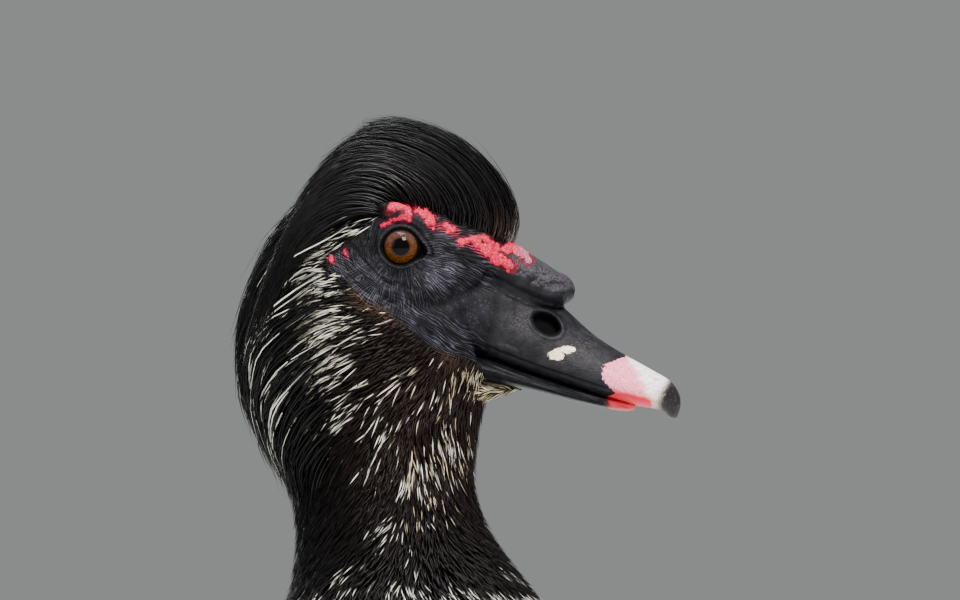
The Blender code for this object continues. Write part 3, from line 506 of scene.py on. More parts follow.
def caruncle_bulbs():
    """Small bulbs along the caruncles' centre lines: x, z, radius, height."""
    draw = np.random.default_rng(SEED)
    bulbs = []
    for line, half in CARUNCLES:
        line = np.array(line, float)
        steps = np.hypot(*np.diff(line, axis=0).T)
        length = steps.sum()
        count = max(3, int(length * half * 3.6) + 4)
        for k in range(count):
            along = length * (k + draw.uniform(0.2, 0.8)) / count
            x, z = (np.interp(along, np.r_[0, np.cumsum(steps)], line[:, i]) for i in (0, 1))
            aside = draw.uniform(-0.95, 0.95) * half
            turn = draw.uniform(0, 2 * math.pi)
            if half > 0.8:
                radius = min(draw.uniform(0.55, 1.0), half * 1.1)
            else:
                radius = half * draw.uniform(0.9, 1.2)
            rise = radius * draw.uniform(0.75, 1.0)
            bulbs.append((x + aside * math.cos(turn), z + aside * math.sin(turn), radius, rise))
    return np.array(bulbs)


BULBS = caruncle_bulbs()


def caruncle_height(x, z):
    """Height of the red bulbs over the skin."""
    height = np.zeros(x.shape)
    for bx, bz, radius, rise in BULBS:
        share = ((x - bx) ** 2 + (z - bz) ** 2) / radius**2
        height = np.maximum(height, rise * np.sqrt(np.clip(1 - share, 0, 1)))
    return height


def blush_share(x, z):
    """1 on the caruncles, falling off round them where the skin is stained red."""
    near = np.full(x.shape, 9.0)
    for line, half in CARUNCLES:
        near = np.minimum(near, from_line(x, z, line) - half)
    return smooth(1.1, -0.1, near)


def nostril_share(x, z):
    """1 on the nostril's edge, less inside."""
    dx, dz = x - NOSTRIL[0], z - NOSTRIL[1]
    c, s = math.cos(NOSTRIL_TILT), math.sin(NOSTRIL_TILT)
    return np.hypot((dx * c - dz * s) / NOSTRIL_AXES[0], (dx * s + dz * c) / NOSTRIL_AXES[1])


def wave_noise(x, z, seed, size):
    """Smooth seeded noise of about that size in mm, from a few turned waves."""
    draw = np.random.default_rng(seed)
    total = np.zeros(x.shape)
    for _ in range(9):
        turn, phase, pace = draw.uniform(0, 2 * math.pi), draw.uniform(0, 2 * math.pi), draw.uniform(0.6, 1.6)
        total += np.sin((x * math.cos(turn) + z * math.sin(turn)) * pace * 2 * math.pi / size + phase)
    return total / 3.6


def grooves(phase):
    """A row of waves from 0 to 1, one for each full turn of phase."""
    return 0.5 + 0.5 * np.cos(phase)


def jaw_lines(x, z):
    """Coordinates across and along the creases that slope down over the cheek."""
    return 0.54 * (x + 14) + 0.84 * (z - 388), 0.84 * (x + 14) - 0.54 * (z - 388)


def face_relief(x, y, z, away, turn, lid):
    """Height in mm of the bare skin's folds and creases and the bill's forms over the plain head."""
    lower = smooth(0.15, -0.5, np.sin(turn))
    near = smooth(13, 7, away)
    rise = 1.7 * swelling(x, z, 2.0, 387.0, 14, 4.8)
    rise += 0.8 * swelling(x, z, 15, 390.5, 9, 4)
    rise -= 1.15 * bump(from_line(x, z, POUCH_EDGE), 1.7)
    rise += 0.8 * swelling(x, z, 20.5, 376.5, 7.5, 5)
    rise -= 0.95 * bump(lid - 3.1, 0.85) * lower * near
    rise += 0.35 * bump(lid - 4.9, 1.0) * lower * near
    for height, width, line in EYE_FOLDS:
        rise += height * bump(from_line(x, z, line), width)

    across, along = jaw_lines(x, z)
    wobble = 0.55 * np.sin(along / 4.2) + 0.3 * np.sin(along / 1.9 + 1)
    jaw = smooth(-1.5, 1.0, across) * smooth(11.5, 6, across) * smooth(-2, 5, along) * smooth(40, 30, along)
    rise -= 0.12 * grooves(2 * math.pi * (across + wobble) / 2.05) * jaw
    fan = np.hypot(x - 27, z - 366)
    fan_turn = np.arctan2(z - 366, x - 27)
    corner = smooth(3.5, 6.5, fan) * smooth(19, 9, fan)
    corner = corner * smooth(1.3, 1.9, fan_turn) * smooth(3.1, 2.9, fan_turn)
    rise -= 0.2 * grooves(fan_turn * 26 + 0.5 * np.sin(fan)) * corner
    front = smooth(8.5, 10.5, x) * smooth(25, 19, x) * bump(z - 398.5 + 0.32 * (x - 10), 4.6)
    lines = z - 398.2 + 0.42 * (x - 10) + 0.4 * np.sin(x * 0.9)
    rise -= 0.32 * grooves(2 * math.pi * lines / (2.3 - 0.045 * (x - 9))) * front
    temple = swelling(x, z, -16, 391, 4.5, 7)
    rise -= 0.2 * grooves(2 * math.pi * (x + 0.2 * z) / 1.35) * temple

    rise += 0.5 * bump(from_line(x, z, LORE_RIDGE), 1.5) * smooth(6, 10, away)
    rise -= 0.9 * bump(from_line(x, z, FOLD), 1.15) * smooth(27, 34, x)
    rise += 0.95 * bump(from_line(x, z, FOLD_RIDGE), 2.0)
    rise -= 0.5 * swelling(x, z, 36, 378, 7, 5)
    rise -= 0.5 * bump(from_line(x, z, GAPE_FURROW), 1.3)
    knob = smooth(33, 38, x) * smooth(381, 384, z)
    rise += 0.22 * wave_noise(x, z + y * 0.7, 5, 4.2) * knob + 0.10 * wave_noise(x, z + y, 6, 1.9) * knob
    rise += 0.10 * wave_noise(x, z + y * 0.4, 7, 3.4) * smooth(40, 30, x) * smooth(4, 7, away)
    over_edge = z - np.interp(x, *UPPER_EDGE)
    rim = smooth(21, 26, x) * smooth(72, 60, x)
    rise += (0.8 * bump(over_edge - 1.0, 0.95) - 0.6 * bump(over_edge - 2.9, 0.5)) * rim
    return rise


def lid_surface(away, turn, lid):
    """How far out the lids lie, over the eyeball and up to its margin."""
    ball = EYE_BALL_SIDE + np.sqrt(np.clip(EYE_BALL_RADIUS**2 - away**2, 0, None))
    margin = EYE_BALL_SIDE + np.sqrt(np.clip(EYE_BALL_RADIUS**2 - LID_RADIUS**2, 0, None)) + 0.35
    hidden = np.maximum(ball - 0.9, 15.0)
    upper = 1 - smooth(0.15, -0.5, np.sin(turn))
    out = mix(hidden, margin, smooth(-0.75, 0.25, lid))
    beads = 0.12 * np.sin(turn * 44) * bump(lid - 0.9, 0.4)
    out += 0.50 * bump(lid - 0.9, 0.36) + beads - 0.42 * bump(lid - 1.75, 0.4)
    out += 0.5 * bump(lid - 2.75, 0.5) * (0.35 + 0.65 * upper) - 0.35 * bump(lid - 3.6, 0.4) * upper
    return out


def shape_face(points, normals):
    """Lids, folds, caruncles, nostrils and bill edges, pressed into the fine head."""
    x, y, z = points.T
    slope = np.abs(normals[:, 1])
    away, turn, lid = eye_polar(x, z)
    rise = face_relief(x, y, z, away, turn, lid)
    hole = nostril_share(x, z)
    bill = smooth(36, 38, x) * smooth(386, 383.5, z)
    rise += 0.24 * bump(hole - 1.15, 0.12) * bill
    red = caruncle_height(x, z)
    rise = rise * smooth(0.25, 0.7, slope) + 0.85 * red * smooth(0.12, 0.3, slope + smooth(33, 35, x))

    moved = points + normals * rise[:, None]
    pit = smooth(1.02, 0.78, hole) * bill * (np.abs(y) > 5)
    out = np.abs(moved[:, 1]) - 4.6 * pit
    eye = smooth(5.2, 0.9, lid) * (np.abs(y) > 8) * smooth(14, 10, away)
    out = mix(out, lid_surface(away, turn, lid) + 0.16 * np.clip(lid, 0, 6), eye)
    moved[:, 1] = np.sign(y) * out
    return moved


def face_skin():
    """The fine head with knob and upper bill, bare skin at full size and feathered parts a little inside."""
    def sunk(u, angle):
        places = BODY.point(u, angle)
        x, z = places[..., 0], places[..., 2]
        coat = -1.5 * smooth(0.5, 3.5, -inside(x, z, BARE_FACE))
        taper = smooth(5, 28, x) * bump(z - 382, 12.5) * np.abs(np.sin(angle)) ** 0.5
        return coat - 7.2 * taper

    parts = [
        tube_piece("face", BODY, 14.3, BODY.last - 0.75, 130, 120, sunk),
        tube_piece("bill", BILL_UPPER, 0, BILL_UPPER.last, 90, 90, 0.22),
        tube_piece("knob", KNOB, 0, KNOB.last, 40, 64),
    ]
    for side, _ in SIDES:
        parts.append(ellipsoid("brow", (2.5, side * 14.4, EYE_HEIGHT + 8.4), (11.5, 4.2, 3.4), 24))
        parts.append(ellipsoid("temple", (14.5, side * 12.2, 400.4), (12, 5.4, 4.2), 30))
    parts.append(ellipsoid("knob_tip", (47.6, 0, 387.6), (6.3, 7.6, 4.9), 18))
    head = voxels(joined(parts), FACE_VOXEL, 10)

    x, _, z = points_of(head).T
    base = smooth(17, 22, x) * smooth(34, 28, x) * smooth(366, 370, z) * smooth(400, 396, z)
    slope = np.abs(normals_of(head)[:, 1])
    raised(head, 1.1 * bump(from_line(x, z, BILL_ROOT), 1.7) * smooth(0.4, 0.8, slope))
    relaxed(head, 160, share=base)
    set_points(head, shape_face(points_of(head), normals_of(head)))
    x, _, z = points_of(head).T
    clear = (1 - blush_share(x, z)) * smooth(1.5, 1.9, nostril_share(x, z))
    clear = clear * smooth(1.6, 3.2, from_line(x, z, FOLD))
    bill_base = smooth(22, 25, x) * smooth(40, 35, x) * smooth(370, 373, z) * smooth(392, 389, z)
    relaxed(head, 40, share=bill_base * clear)
    relaxed(head, 1, 0.4)
    x, _, z = points_of(head).T
    return thinned(head, 0.6, smooth(-1.0, 3.0, -inside(x, z, BARE_FACE)))


WING_SECTIONS = (
    (52, 232, 52, 160, 78, 0.5, 2.0),
    (10, 262, 10, 112, 103, 0.5, 2.1),
    (-70, 274, -70, 96, 110, 0.5, 2.1),
    (-150, 269, -150, 96, 107, 0.5, 2.1),
    (-230, 259, -230, 116, 94, 0.52, 2.1),
    (-300, 250, -300, 152, 70, 0.55, 2.1),
    (-370, 244, -370, 190, 44, 0.6, 2.0),
    (-420, 242, -420, 208, 30, 0.6, 2.0),
)
TAIL_SECTIONS = (
    (-330, 218, -324, 184, 36, 0.55, 2.2),
    (-366, 211, -362, 193, 34, 0.55, 2.4),
    (-392, 208.5, -391, 202.5, 28, 0.5, 2.6),
)
WING = Loft(WING_SECTIONS)
TAIL = Loft(TAIL_SECTIONS)
# The folded wing's flesh on its guide: x, upper edge and lower edge in degrees from the top.
WING_SPANS = np.array((
    (50, 60, 92), (20, 24, 112), (-60, 11, 116), (-150, 10, 112),
    (-230, 18, 106), (-290, 34, 98), (-322, 50, 90),
), float)
WING_RISING = WING_SPANS[::-1]
UP = np.array((0.0, 0.0, 1.0))
SHANK_TOP = np.array((-160.0, 54.0, 84.0))
SHANK_FOOT = np.array((-140.0, 54.0, 21.0))
SHANK_PLACES = (0, 0.14, 0.3, 0.55, 0.8, 0.92, 1)
SHANK_RADII = (7.0, 7.5, 7.7, 6.3, 5.7, 5.8, 6.7, 6.9, 5.6)
THIGH_PATH = ((-108, 46, 158), (-118, 50, 138), (-132, 54, 118), (-148, 54.5, 100), (-160, 54, 84))
THIGH_RADII = (28, 32, 28, 16.5, 7.4)
FOOT = (-139.0, 54.0)


def tube_along(name, path, radii, sides=28, rows=4):
    """A closed tube along points in mm with a radius at each."""
    keys = np.column_stack([path, radii]).astype(float)
    fine = spline(keys, np.linspace(0, len(keys) - 1, (len(keys) - 1) * rows + 1))
    places, reach = fine[:, :3], fine[:, 3]
    run = unit(np.gradient(places, axis=0))
    aside = unit(np.cross(run, UP + 1e-3))
    up = np.cross(aside, run)
    turns = np.arange(sides) * 2 * math.pi / sides
    rings = places[:, None] + reach[:, None, None] * (
        aside[:, None] * np.cos(turns)[None, :, None] + up[:, None] * np.sin(turns)[None, :, None])
    return face_out(new_object(name, rings.reshape(-1, 3), ring_faces(len(places) - 1, sides)))


def cad_copy(node):
    """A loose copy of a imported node's mesh, to work a finer shape from."""
    made = bpy.data.objects.new(node + "_copy", frame["nodes"][node].data.copy())
    made.data.materials.clear()
    return link(made)


def union(objects):
    """Joins closed meshes into one closed surface."""
    group = bpy.data.collections.new("operands")
    bpy.context.scene.collection.children.link(group)
    for other in objects[1:]:
        bpy.context.scene.collection.objects.unlink(other)
        group.objects.link(other)
    join = objects[0].modifiers.new("join", "BOOLEAN")
    join.operation = "UNION"
    join.operand_type = "COLLECTION"
    join.collection = group
    join.solver = "MANIFOLD"
    applied(objects[0])
    for other in objects[1:]:
        bpy.data.objects.remove(other)
    bpy.data.collections.remove(group)
    return objects[0]


def leg(side, name):
    """Bare shank and webbed foot as one fine skin with scutes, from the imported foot."""
    mirror = mirrored(side)
    run = unit((SHANK_FOOT - SHANK_TOP)[None])[0]
    between = [mix(SHANK_TOP, SHANK_FOOT, t) for t in SHANK_PLACES]
    path = [SHANK_TOP - run * 9] + between + [SHANK_FOOT + run * 10]
    shank = tube_along("shank", np.array(path) * mirror, SHANK_RADII)
    made = voxels(joined([cad_copy("foot_" + name), shank]), 0.85, 5)
    points = points_of(made)
    normals = normals_of(made)
    x, y, z = points.T
    along = (points - SHANK_TOP * mirror) @ (run * mirror)
    ahead = smooth(0.1, 0.6, normals[:, 0])
    scutes = np.abs(np.sin(along * math.pi / 3.4 + 0.25 * np.sin(y * 1.7)))
    rise = (0.34 * np.sqrt(scutes) - 0.2) * ahead * smooth(17, 22, z)
    rise += 0.13 * wave_noise(x * 0.4 + y, z, 21, 3.0) * (1 - ahead) * smooth(14, 20, z)
    reach = np.hypot(x - FOOT[0], np.abs(y) - FOOT[1])
    plates = np.abs(np.sin(reach * math.pi / 2.5))
    on_toe = smooth(3.6, 4.6, z) * smooth(18, 13, z) * smooth(0.3, 0.8, normals[:, 2])
    rise += (0.30 * np.sqrt(plates) - 0.2) * on_toe
    web = smooth(3.6, 3.2, z) * smooth(0.6, 0.9, np.abs(normals[:, 2]))
    rise += 0.12 * wave_noise(x * 0.3, y * 1.4, 22, 2.6) * web
    return thinned(raised(made, rise), 0.3)


def over_back(points):
    """Places of the wing's guide laid down onto the back near the middle line, and how far, from 0 to 1."""
    x, y, z = np.moveaxis(points, -1, 0)
    keys = BODY.keys[:7]
    top, low, half = (np.interp(x, keys[:, 0], keys[:, k]) for k in (1, 3, 4))
    middle = (top + low) / 2
    fullness = 2.1
    back = np.clip(1 - np.clip(np.abs(y) / half, 0, 1) ** fullness, 0, 1) ** (1 / fullness)
    back = middle + (top - middle) * back
    inner = smooth(1.08, 0.55, np.abs(y) / half) * smooth(-10, -90, x)
    return points - UP * (inner * np.clip(z - back - 1.5, 0, 14))[..., None], inner


def wing_flesh(side):
    """The folded wing's flesh as a plate between two sheets of quads and a rim."""
    rows, columns = 26, 14
    spans = spline(WING_SPANS, np.linspace(0, len(WING_SPANS) - 1, rows + 1))
    u = np.interp(spans[:, 0], *np.array(sorted((x, WING.at_x(x)) for x in range(-420, 53, 6))).T)[:, None]
    t = np.linspace(0, 1, columns + 1)[None, :]
    angle = np.radians(mix(spans[:, 1:2], spans[:, 2:3], t))
    u, angle = np.broadcast_arrays(u, angle)
    row = np.arange(rows + 1)[:, None]
    edge = smooth(0, 0.30, t) * smooth(0, 0.17, 1 - t) * smooth(0, 5.5, np.minimum(row, rows - row))
    places = over_back(WING.point(u, angle))[0]
    outer = places + WING.normal(u, angle) * mix(-13.0, -4.5, edge)[..., None]
    inner = places - WING.normal(u, angle) * 20.0
    wide = columns + 1
    points = np.concatenate([outer.reshape(-1, 3), inner.reshape(-1, 3)]) * mirrored(side)
    under = len(points) // 2
    faces = []
    for r in range(rows):
        for c in range(columns):
            a = r * wide + c
            faces.append((a, a + 1, a + wide + 1, a + wide))
            faces.append((a + wide + under, a + wide + 1 + under, a + 1 + under, a + under))
    rim = [c for c in range(wide)] + [r * wide + columns for r in range(1, rows + 1)]
    rim += [rows * wide + c for c in range(columns - 1, -1, -1)] + [r * wide for r in range(rows - 1, 0, -1)]
    for a, b in zip(rim, rim[1:] + rim[:1]):
        faces.append((b, a, a + under, b + under))
    return face_out(new_object("wing_flesh", points, faces), agree=True)


def coat_depth(u, _):
    """How far the skin lies inside the outline of the resting coat, in mm."""
    return mix(4.5, 1.8, smooth(6.0, 9.5, u)) + 4.0 * smooth(14.3, 15.0, u)


def build_skin():
    """One closed skin over the whole bird. The face is fine, the feathered body coarser."""
    parts = [
        face_skin(),
        tube_piece("body", BODY, 0.02, 15.0, 140, 96, lambda u, angle: -coat_depth(u, angle)),
        tube_piece("tail_root", TAIL, 0, TAIL.last, 12, 32, -2.0),
        tube_piece("chin", CHIN, 0, CHIN.last, 24, 32, -0.9),
        ellipsoid("crest_core", (8.5, 0, 412.5), (24.5, 12, 20), -6, 40, 20),
    ]
    for side, name in SIDES:
        parts.append(tube_along("thigh", np.array(THIGH_PATH) * mirrored(side), THIGH_RADII))
        parts.append(leg(side, name))
        parts.append(wing_flesh(side))
    skin = union(parts)
    skin.name = skin.data.name = "skin"
    skin.data.shade_smooth()
    return skin


def lower_bill():
    """The lower bill, a rim with two ridges along the mouth."""
    made = tube_piece("lower_bill", BILL_LOWER, 0, BILL_LOWER.last, 90, 64, 0.2)
    points = points_of(made)
    x, _, z = points.T
    mouth = np.interp(x, *LOWER_EDGE)
    points[:, 2] = np.minimum(z + 1.1 * smooth(0.45, 0.9, (z - mouth + 5.5) / 5.5), mouth + 1.2)
    set_points(made, points)
    made = voxels(made, 0.42, 4)
    x, _, z = points_of(made).T
    drop = np.interp(x, *LOWER_EDGE) - z
    side = smooth(0.3, 0.7, np.abs(normals_of(made)[:, 1]))
    rise = -0.35 * bump(drop - 1.0, 0.32) - 0.3 * bump(drop - 2.1, 0.34) + 0.12 * bump(drop - 1.55, 0.3)
    return thinned(raised(made, rise * side), 0.4)


class Value:
    """The result of a node: a number with + - *, or a vector or a colour."""

    def __init__(self, shader, socket):
        self.shader, self.socket = shader, socket

    def __add__(self, other):
        return self.shader.math("ADD", self, other)

    def __mul__(self, other):
        return self.shader.math("MULTIPLY", self, other)

    def __sub__(self, other):
        return self.shader.math("SUBTRACT", self, other)

    def __rsub__(self, other):
        return self.shader.math("SUBTRACT", other, self)

    __radd__, __rmul__ = __add__, __mul__


class Shader:
    """Short calls for building one material's nodes."""

    def __init__(self, name):
        self.material = bpy.data.materials.new(name)
        self.material.use_nodes = True
        self.tree = self.material.node_tree

    def feed(self, socket, value):
        """Links a Value to an input, or sets the input to a number or colour."""
        if isinstance(value, Value):
            self.tree.links.new(value.socket, socket)
        elif isinstance(value, tuple) and len(value) < len(socket.default_value):
            socket.default_value = (*value, 1.0)
        else:
            socket.default_value = value

    def node(self, kind, inputs, output=0, **settings):
        made = self.tree.nodes.new("ShaderNode" + kind)
        for key, value in settings.items():
            setattr(made, key, value)
        for key, value in inputs.items():
            self.feed(made.inputs[key], value)
        return Value(self, made.outputs[output])

    def attribute(self, name):
        return self.node("Attribute", {}, "Fac", attribute_name=name)

    def vector(self, name):
        return self.node("Attribute", {}, "Vector", attribute_name=name)

    def tint(self):
        return self.node("Attribute", {}, "Color", attribute_name="tint")

    def math(self, operation, a, b=0.5, clamp=False):
        return self.node("Math", {0: a, 1: b}, operation=operation, use_clamp=clamp)

    def ramp(self, value, low, high, start=0.0, end=1.0):
        """Maps value from low..high to start..end, smoothly and clamped."""
        inputs = {"Value": value, "From Min": low, "From Max": high, "To Min": start, "To Max": end}
        return self.node("MapRange", inputs, interpolation_type="SMOOTHSTEP")

    def mix(self, share, a, b):
        """Colour a, or b where share is 1."""
        return self.node("Mix", {0: share, 6: a, 7: b}, 2, data_type="RGBA")

    def tinted(self, colour, factor):
        """The colour times a grey factor."""
        return self.node("VectorMath", {0: colour, "Scale": factor}, operation="SCALE")

    def scaled(self, vector, sizes):
        return self.node("Mapping", {"Vector": vector, "Scale": sizes})

    def noise(self, vector, scale, detail=2.0, roughness=0.5):
        inputs = {"Vector": vector, "Scale": scale, "Detail": detail, "Roughness": roughness}
        return self.node("TexNoise", inputs, "Fac")

    def ragged(self, vector, scale, detail, strength, roughness=0.5):
        """Noise about 0."""
        return (self.noise(vector, scale, detail, roughness) - 0.5) * strength

    def cells(self, vector, scale):
        """Distance to the borders of irregular cells."""
        inputs = {"Vector": vector, "Scale": scale}
        return self.node("TexVoronoi", inputs, "Distance", feature="DISTANCE_TO_EDGE")

    def ridges(self, vector):
        """Braided ridges, one for each unit of the vector's first coordinate, from 0 to 1."""
        across = self.node("SeparateXYZ", {"Vector": vector}, "X")
        wave = self.math("SINE", (across + self.ragged(vector, 0.42, 1, 4.0)) * (2 * math.pi), 0.0)
        strong = self.ramp(self.noise(vector, 0.5, 1), 0.3, 0.6, 0.4, 1.0)
        return (wave * 0.5 + 0.5) * strong

    def relief(self, height, depth_mm, normal=None):
        """A bump of about that depth in mm for heights of 0 to 1."""
        inputs = {"Height": height, "Strength": 1.0, "Distance": depth_mm * MM}
        if normal:
            inputs["Normal"] = normal
        return self.node("Bump", inputs, "Normal")

    def finish(self, **values):
        """Sets the surface's inputs by name, with _ for a space, and gives the material."""
        surface = self.tree.nodes["Principled BSDF"]
        for key, value in values.items():
            self.feed(surface.inputs[key.replace("_", " ")], value)
        return self.material


def put_values(obj, name, values):
    """Stores a number, a vector or a colour for each vertex."""
    values = np.asarray(values, np.float32)
    if values.ndim == 1:
        made = obj.data.attributes.new(name, "FLOAT", "POINT")
        made.data.foreach_set("value", values)
    elif values.shape[1] == 3:
        made = obj.data.attributes.new(name, "FLOAT_VECTOR", "POINT")
        made.data.foreach_set("vector", values.ravel())
    else:
        made = obj.data.color_attributes.new(name, "FLOAT_COLOR", "POINT")
        made.data.foreach_set("color", values.ravel())


def put_tint(obj, tint):
    put_values(obj, "tint", np.column_stack([tint, np.ones(len(tint))]))


BLACK = np.array((0.0034, 0.0028, 0.0030))
BROWN_BLACK = np.array((0.0098, 0.0047, 0.0036))
BROWN = np.array((0.058, 0.032, 0.020))
WHITE = np.array((0.80, 0.78, 0.70))
CREAM = np.array((0.66, 0.60, 0.43))
TAN = np.array((0.42, 0.31, 0.17))

# White in the coat seen from the side: x, z, reach along and across, tilt in degrees, share of white.
MARKINGS = (
    (-14.0, 405.5, 11, 2.8, 24, 0.30), (-27.0, 398.5, 12, 4.8, 33, 0.46), (-37.0, 389.0, 9, 4.6, 45, 0.66),
    (-30.0, 386.5, 13, 6.4, 25, 0.64), (-42.5, 376.0, 5, 10, -8, 0.66), (-28.0, 376.0, 13, 7.0, 15, 0.62),
    (-41.0, 360.0, 4.5, 14, -4, 0.46), (-24.0, 363.0, 12, 7, 25, 0.40), (-13.0, 373.0, 9, 5, 20, 0.34),
    (-33.0, 347.0, 6, 10, 30, 0.34), (-16.0, 350.0, 11, 6, 35, 0.30), (1.0, 358.0, 10, 5, 20, 0.20),
    (12.0, 352.0, 7, 6, 60, 0.18), (14.0, 337.0, 9, 8, 90, 0.30), (5.0, 329.0, 10, 7, 60, 0.34),
    (-6.0, 340.0, 7, 6, 50, 0.26), (8.0, 318.0, 9, 7, 80, 0.46), (-3.0, 312.0, 8, 7, 55, 0.52),
    (3.0, 301.0, 12, 6, 70, 0.26), (-14.0, 298.0, 9, 8, 60, 0.36), (34.0, 297.0, 8, 5, -40, 0.30),
    (0.5, 294.0, 8, 4.5, 0, 0.62), (23.0, 292.0, 10, 4.5, -15, 0.70), (-14.0, 326.0, 8, 7, 55, 0.16),
    (2.0, 343.0, 13, 8, 40, 0.15),
)
CHEST_WHITE = 293.0


def white_share(x, y, z):
    """The share of white feathers at a place, as the photo's markings go on over the bird."""
    share = np.zeros(x.shape)
    for cx, cz, rx, rz, tilt, amount in MARKINGS:
        c, s = math.cos(math.radians(tilt)), math.sin(math.radians(tilt))
        a, b = (x - cx) * c + (z - cz) * s, -(x - cx) * s + (z - cz) * c
        share = np.maximum(share, amount * np.exp(-((a / rx) ** 2) - (b / rz) ** 2))
    low = smooth(CHEST_WHITE + 2.5, CHEST_WHITE - 5, z + 2.0 * wave_noise(x, y, 31, 14))
    patches = wave_noise(x * 0.8 + y * 0.5, z + y * 0.8, 32, 58) + 0.6 * wave_noise(x + y, z - y, 33, 24)
    ahead = smooth(-20, 10, x + 0.25 * (z - 200))
    more = patches + 0.75 * smooth(70, 10, np.abs(y)) + 0.9 * smooth(250, 292, z)
    chest = low * ahead * smooth(-0.5, 0.7, more)
    share = np.maximum(share, 0.92 * chest)
    belly = smooth(132, 100, z) * smooth(-330, -250, x) * smooth(-0.2, 0.8, patches)
    return np.maximum(share, 0.55 * belly)


def dark_tone(x, z):
    """The dark feathers' colour: browner on the cheeks, throat and belly, black on crest, nape and back."""
    brown = swelling(x, z, 6, 352, 26, 40) + 0.7 * smooth(300, 270, z) * smooth(-10, 40, x)
    brown = np.clip(brown + 0.8 * smooth(150, 110, z), 0, 1)[:, None]
    tone = mix(BLACK, BROWN_BLACK, brown)
    edge = bump(from_line(x, z, ((-14, 384), (-8, 381), (-3, 378))), 2.4)[:, None]
    corner = swelling(x, z, 14.5, 364.5, 3, 3.5)[:, None]
    return mix(tone, BROWN, 0.55 * edge + 0.4 * corner)


# Edges of the bill's zones: heights z, and the x where the pink, white and dark nail zones begin there.
PINK_EDGE = (
    (349, 352.2, 353.6, 354.9, 356.2, 358.0, 360.5, 363.6, 366.3),
    (61.5, 62.2, 63.4, 66.6, 65.2, 63.2, 62.0, 62.6, 70.0),
)
WHITE_EDGE = ((349, 351.5, 353, 357, 361.6, 364), (79.0, 78.4, 77.4, 75.6, 73.0, 71.2))
NAIL_EDGE = ((345, 347, 349.5, 352, 355, 358.4, 360), (80.0, 79.6, 79.2, 79.6, 80.4, 82.6, 84.6))
HEAD_FLOOR = 340
PLUMAGE, FACE, LEGS = range(3)


def crease_maps(x, z):
    """Coordinates across and along the fine creases in four parts of the face, and each part's weight."""
    away, turn, _ = eye_polar(x, z)
    pouch = smooth(6.2, 8, away) * smooth(-0.25, -0.6, np.sin(turn)) * smooth(24, 17, away)
    radial = np.stack([turn * 13.5 / 0.64, away / 2.5, 0 * x], 1)
    across, along = jaw_lines(x, z)
    jaw = smooth(11, 5, across) * (1 - 0.5 * pouch)
    sloping = np.stack([(across + 0.5 * np.sin(along / 4)) / 0.78, along / 3.4, 0 * x + 7], 1)
    front = smooth(6.0, 9, x) * smooth(33, 26, x) * smooth(384, 390, z)
    level = np.stack([(z - 396) * 2.1 / (0.6 + 0.055 * x) + 0.42 * x, x / 2.8, 0 * x + 19], 1)
    rear = smooth(6.4, 7.6, away) * smooth(-4.5, -8.5, x) * smooth(384, 388, z) * (1 - pouch)
    arcs = np.stack([(away + 0.6 * np.sin(turn * 5)) / 0.74, turn * away / 3.2, 0 * x + 31], 1)
    return {"crease_pouch": (radial, pouch), "crease_jaw": (sloping, jaw),
            "crease_front": (level, front), "crease_rear": (arcs, rear)}


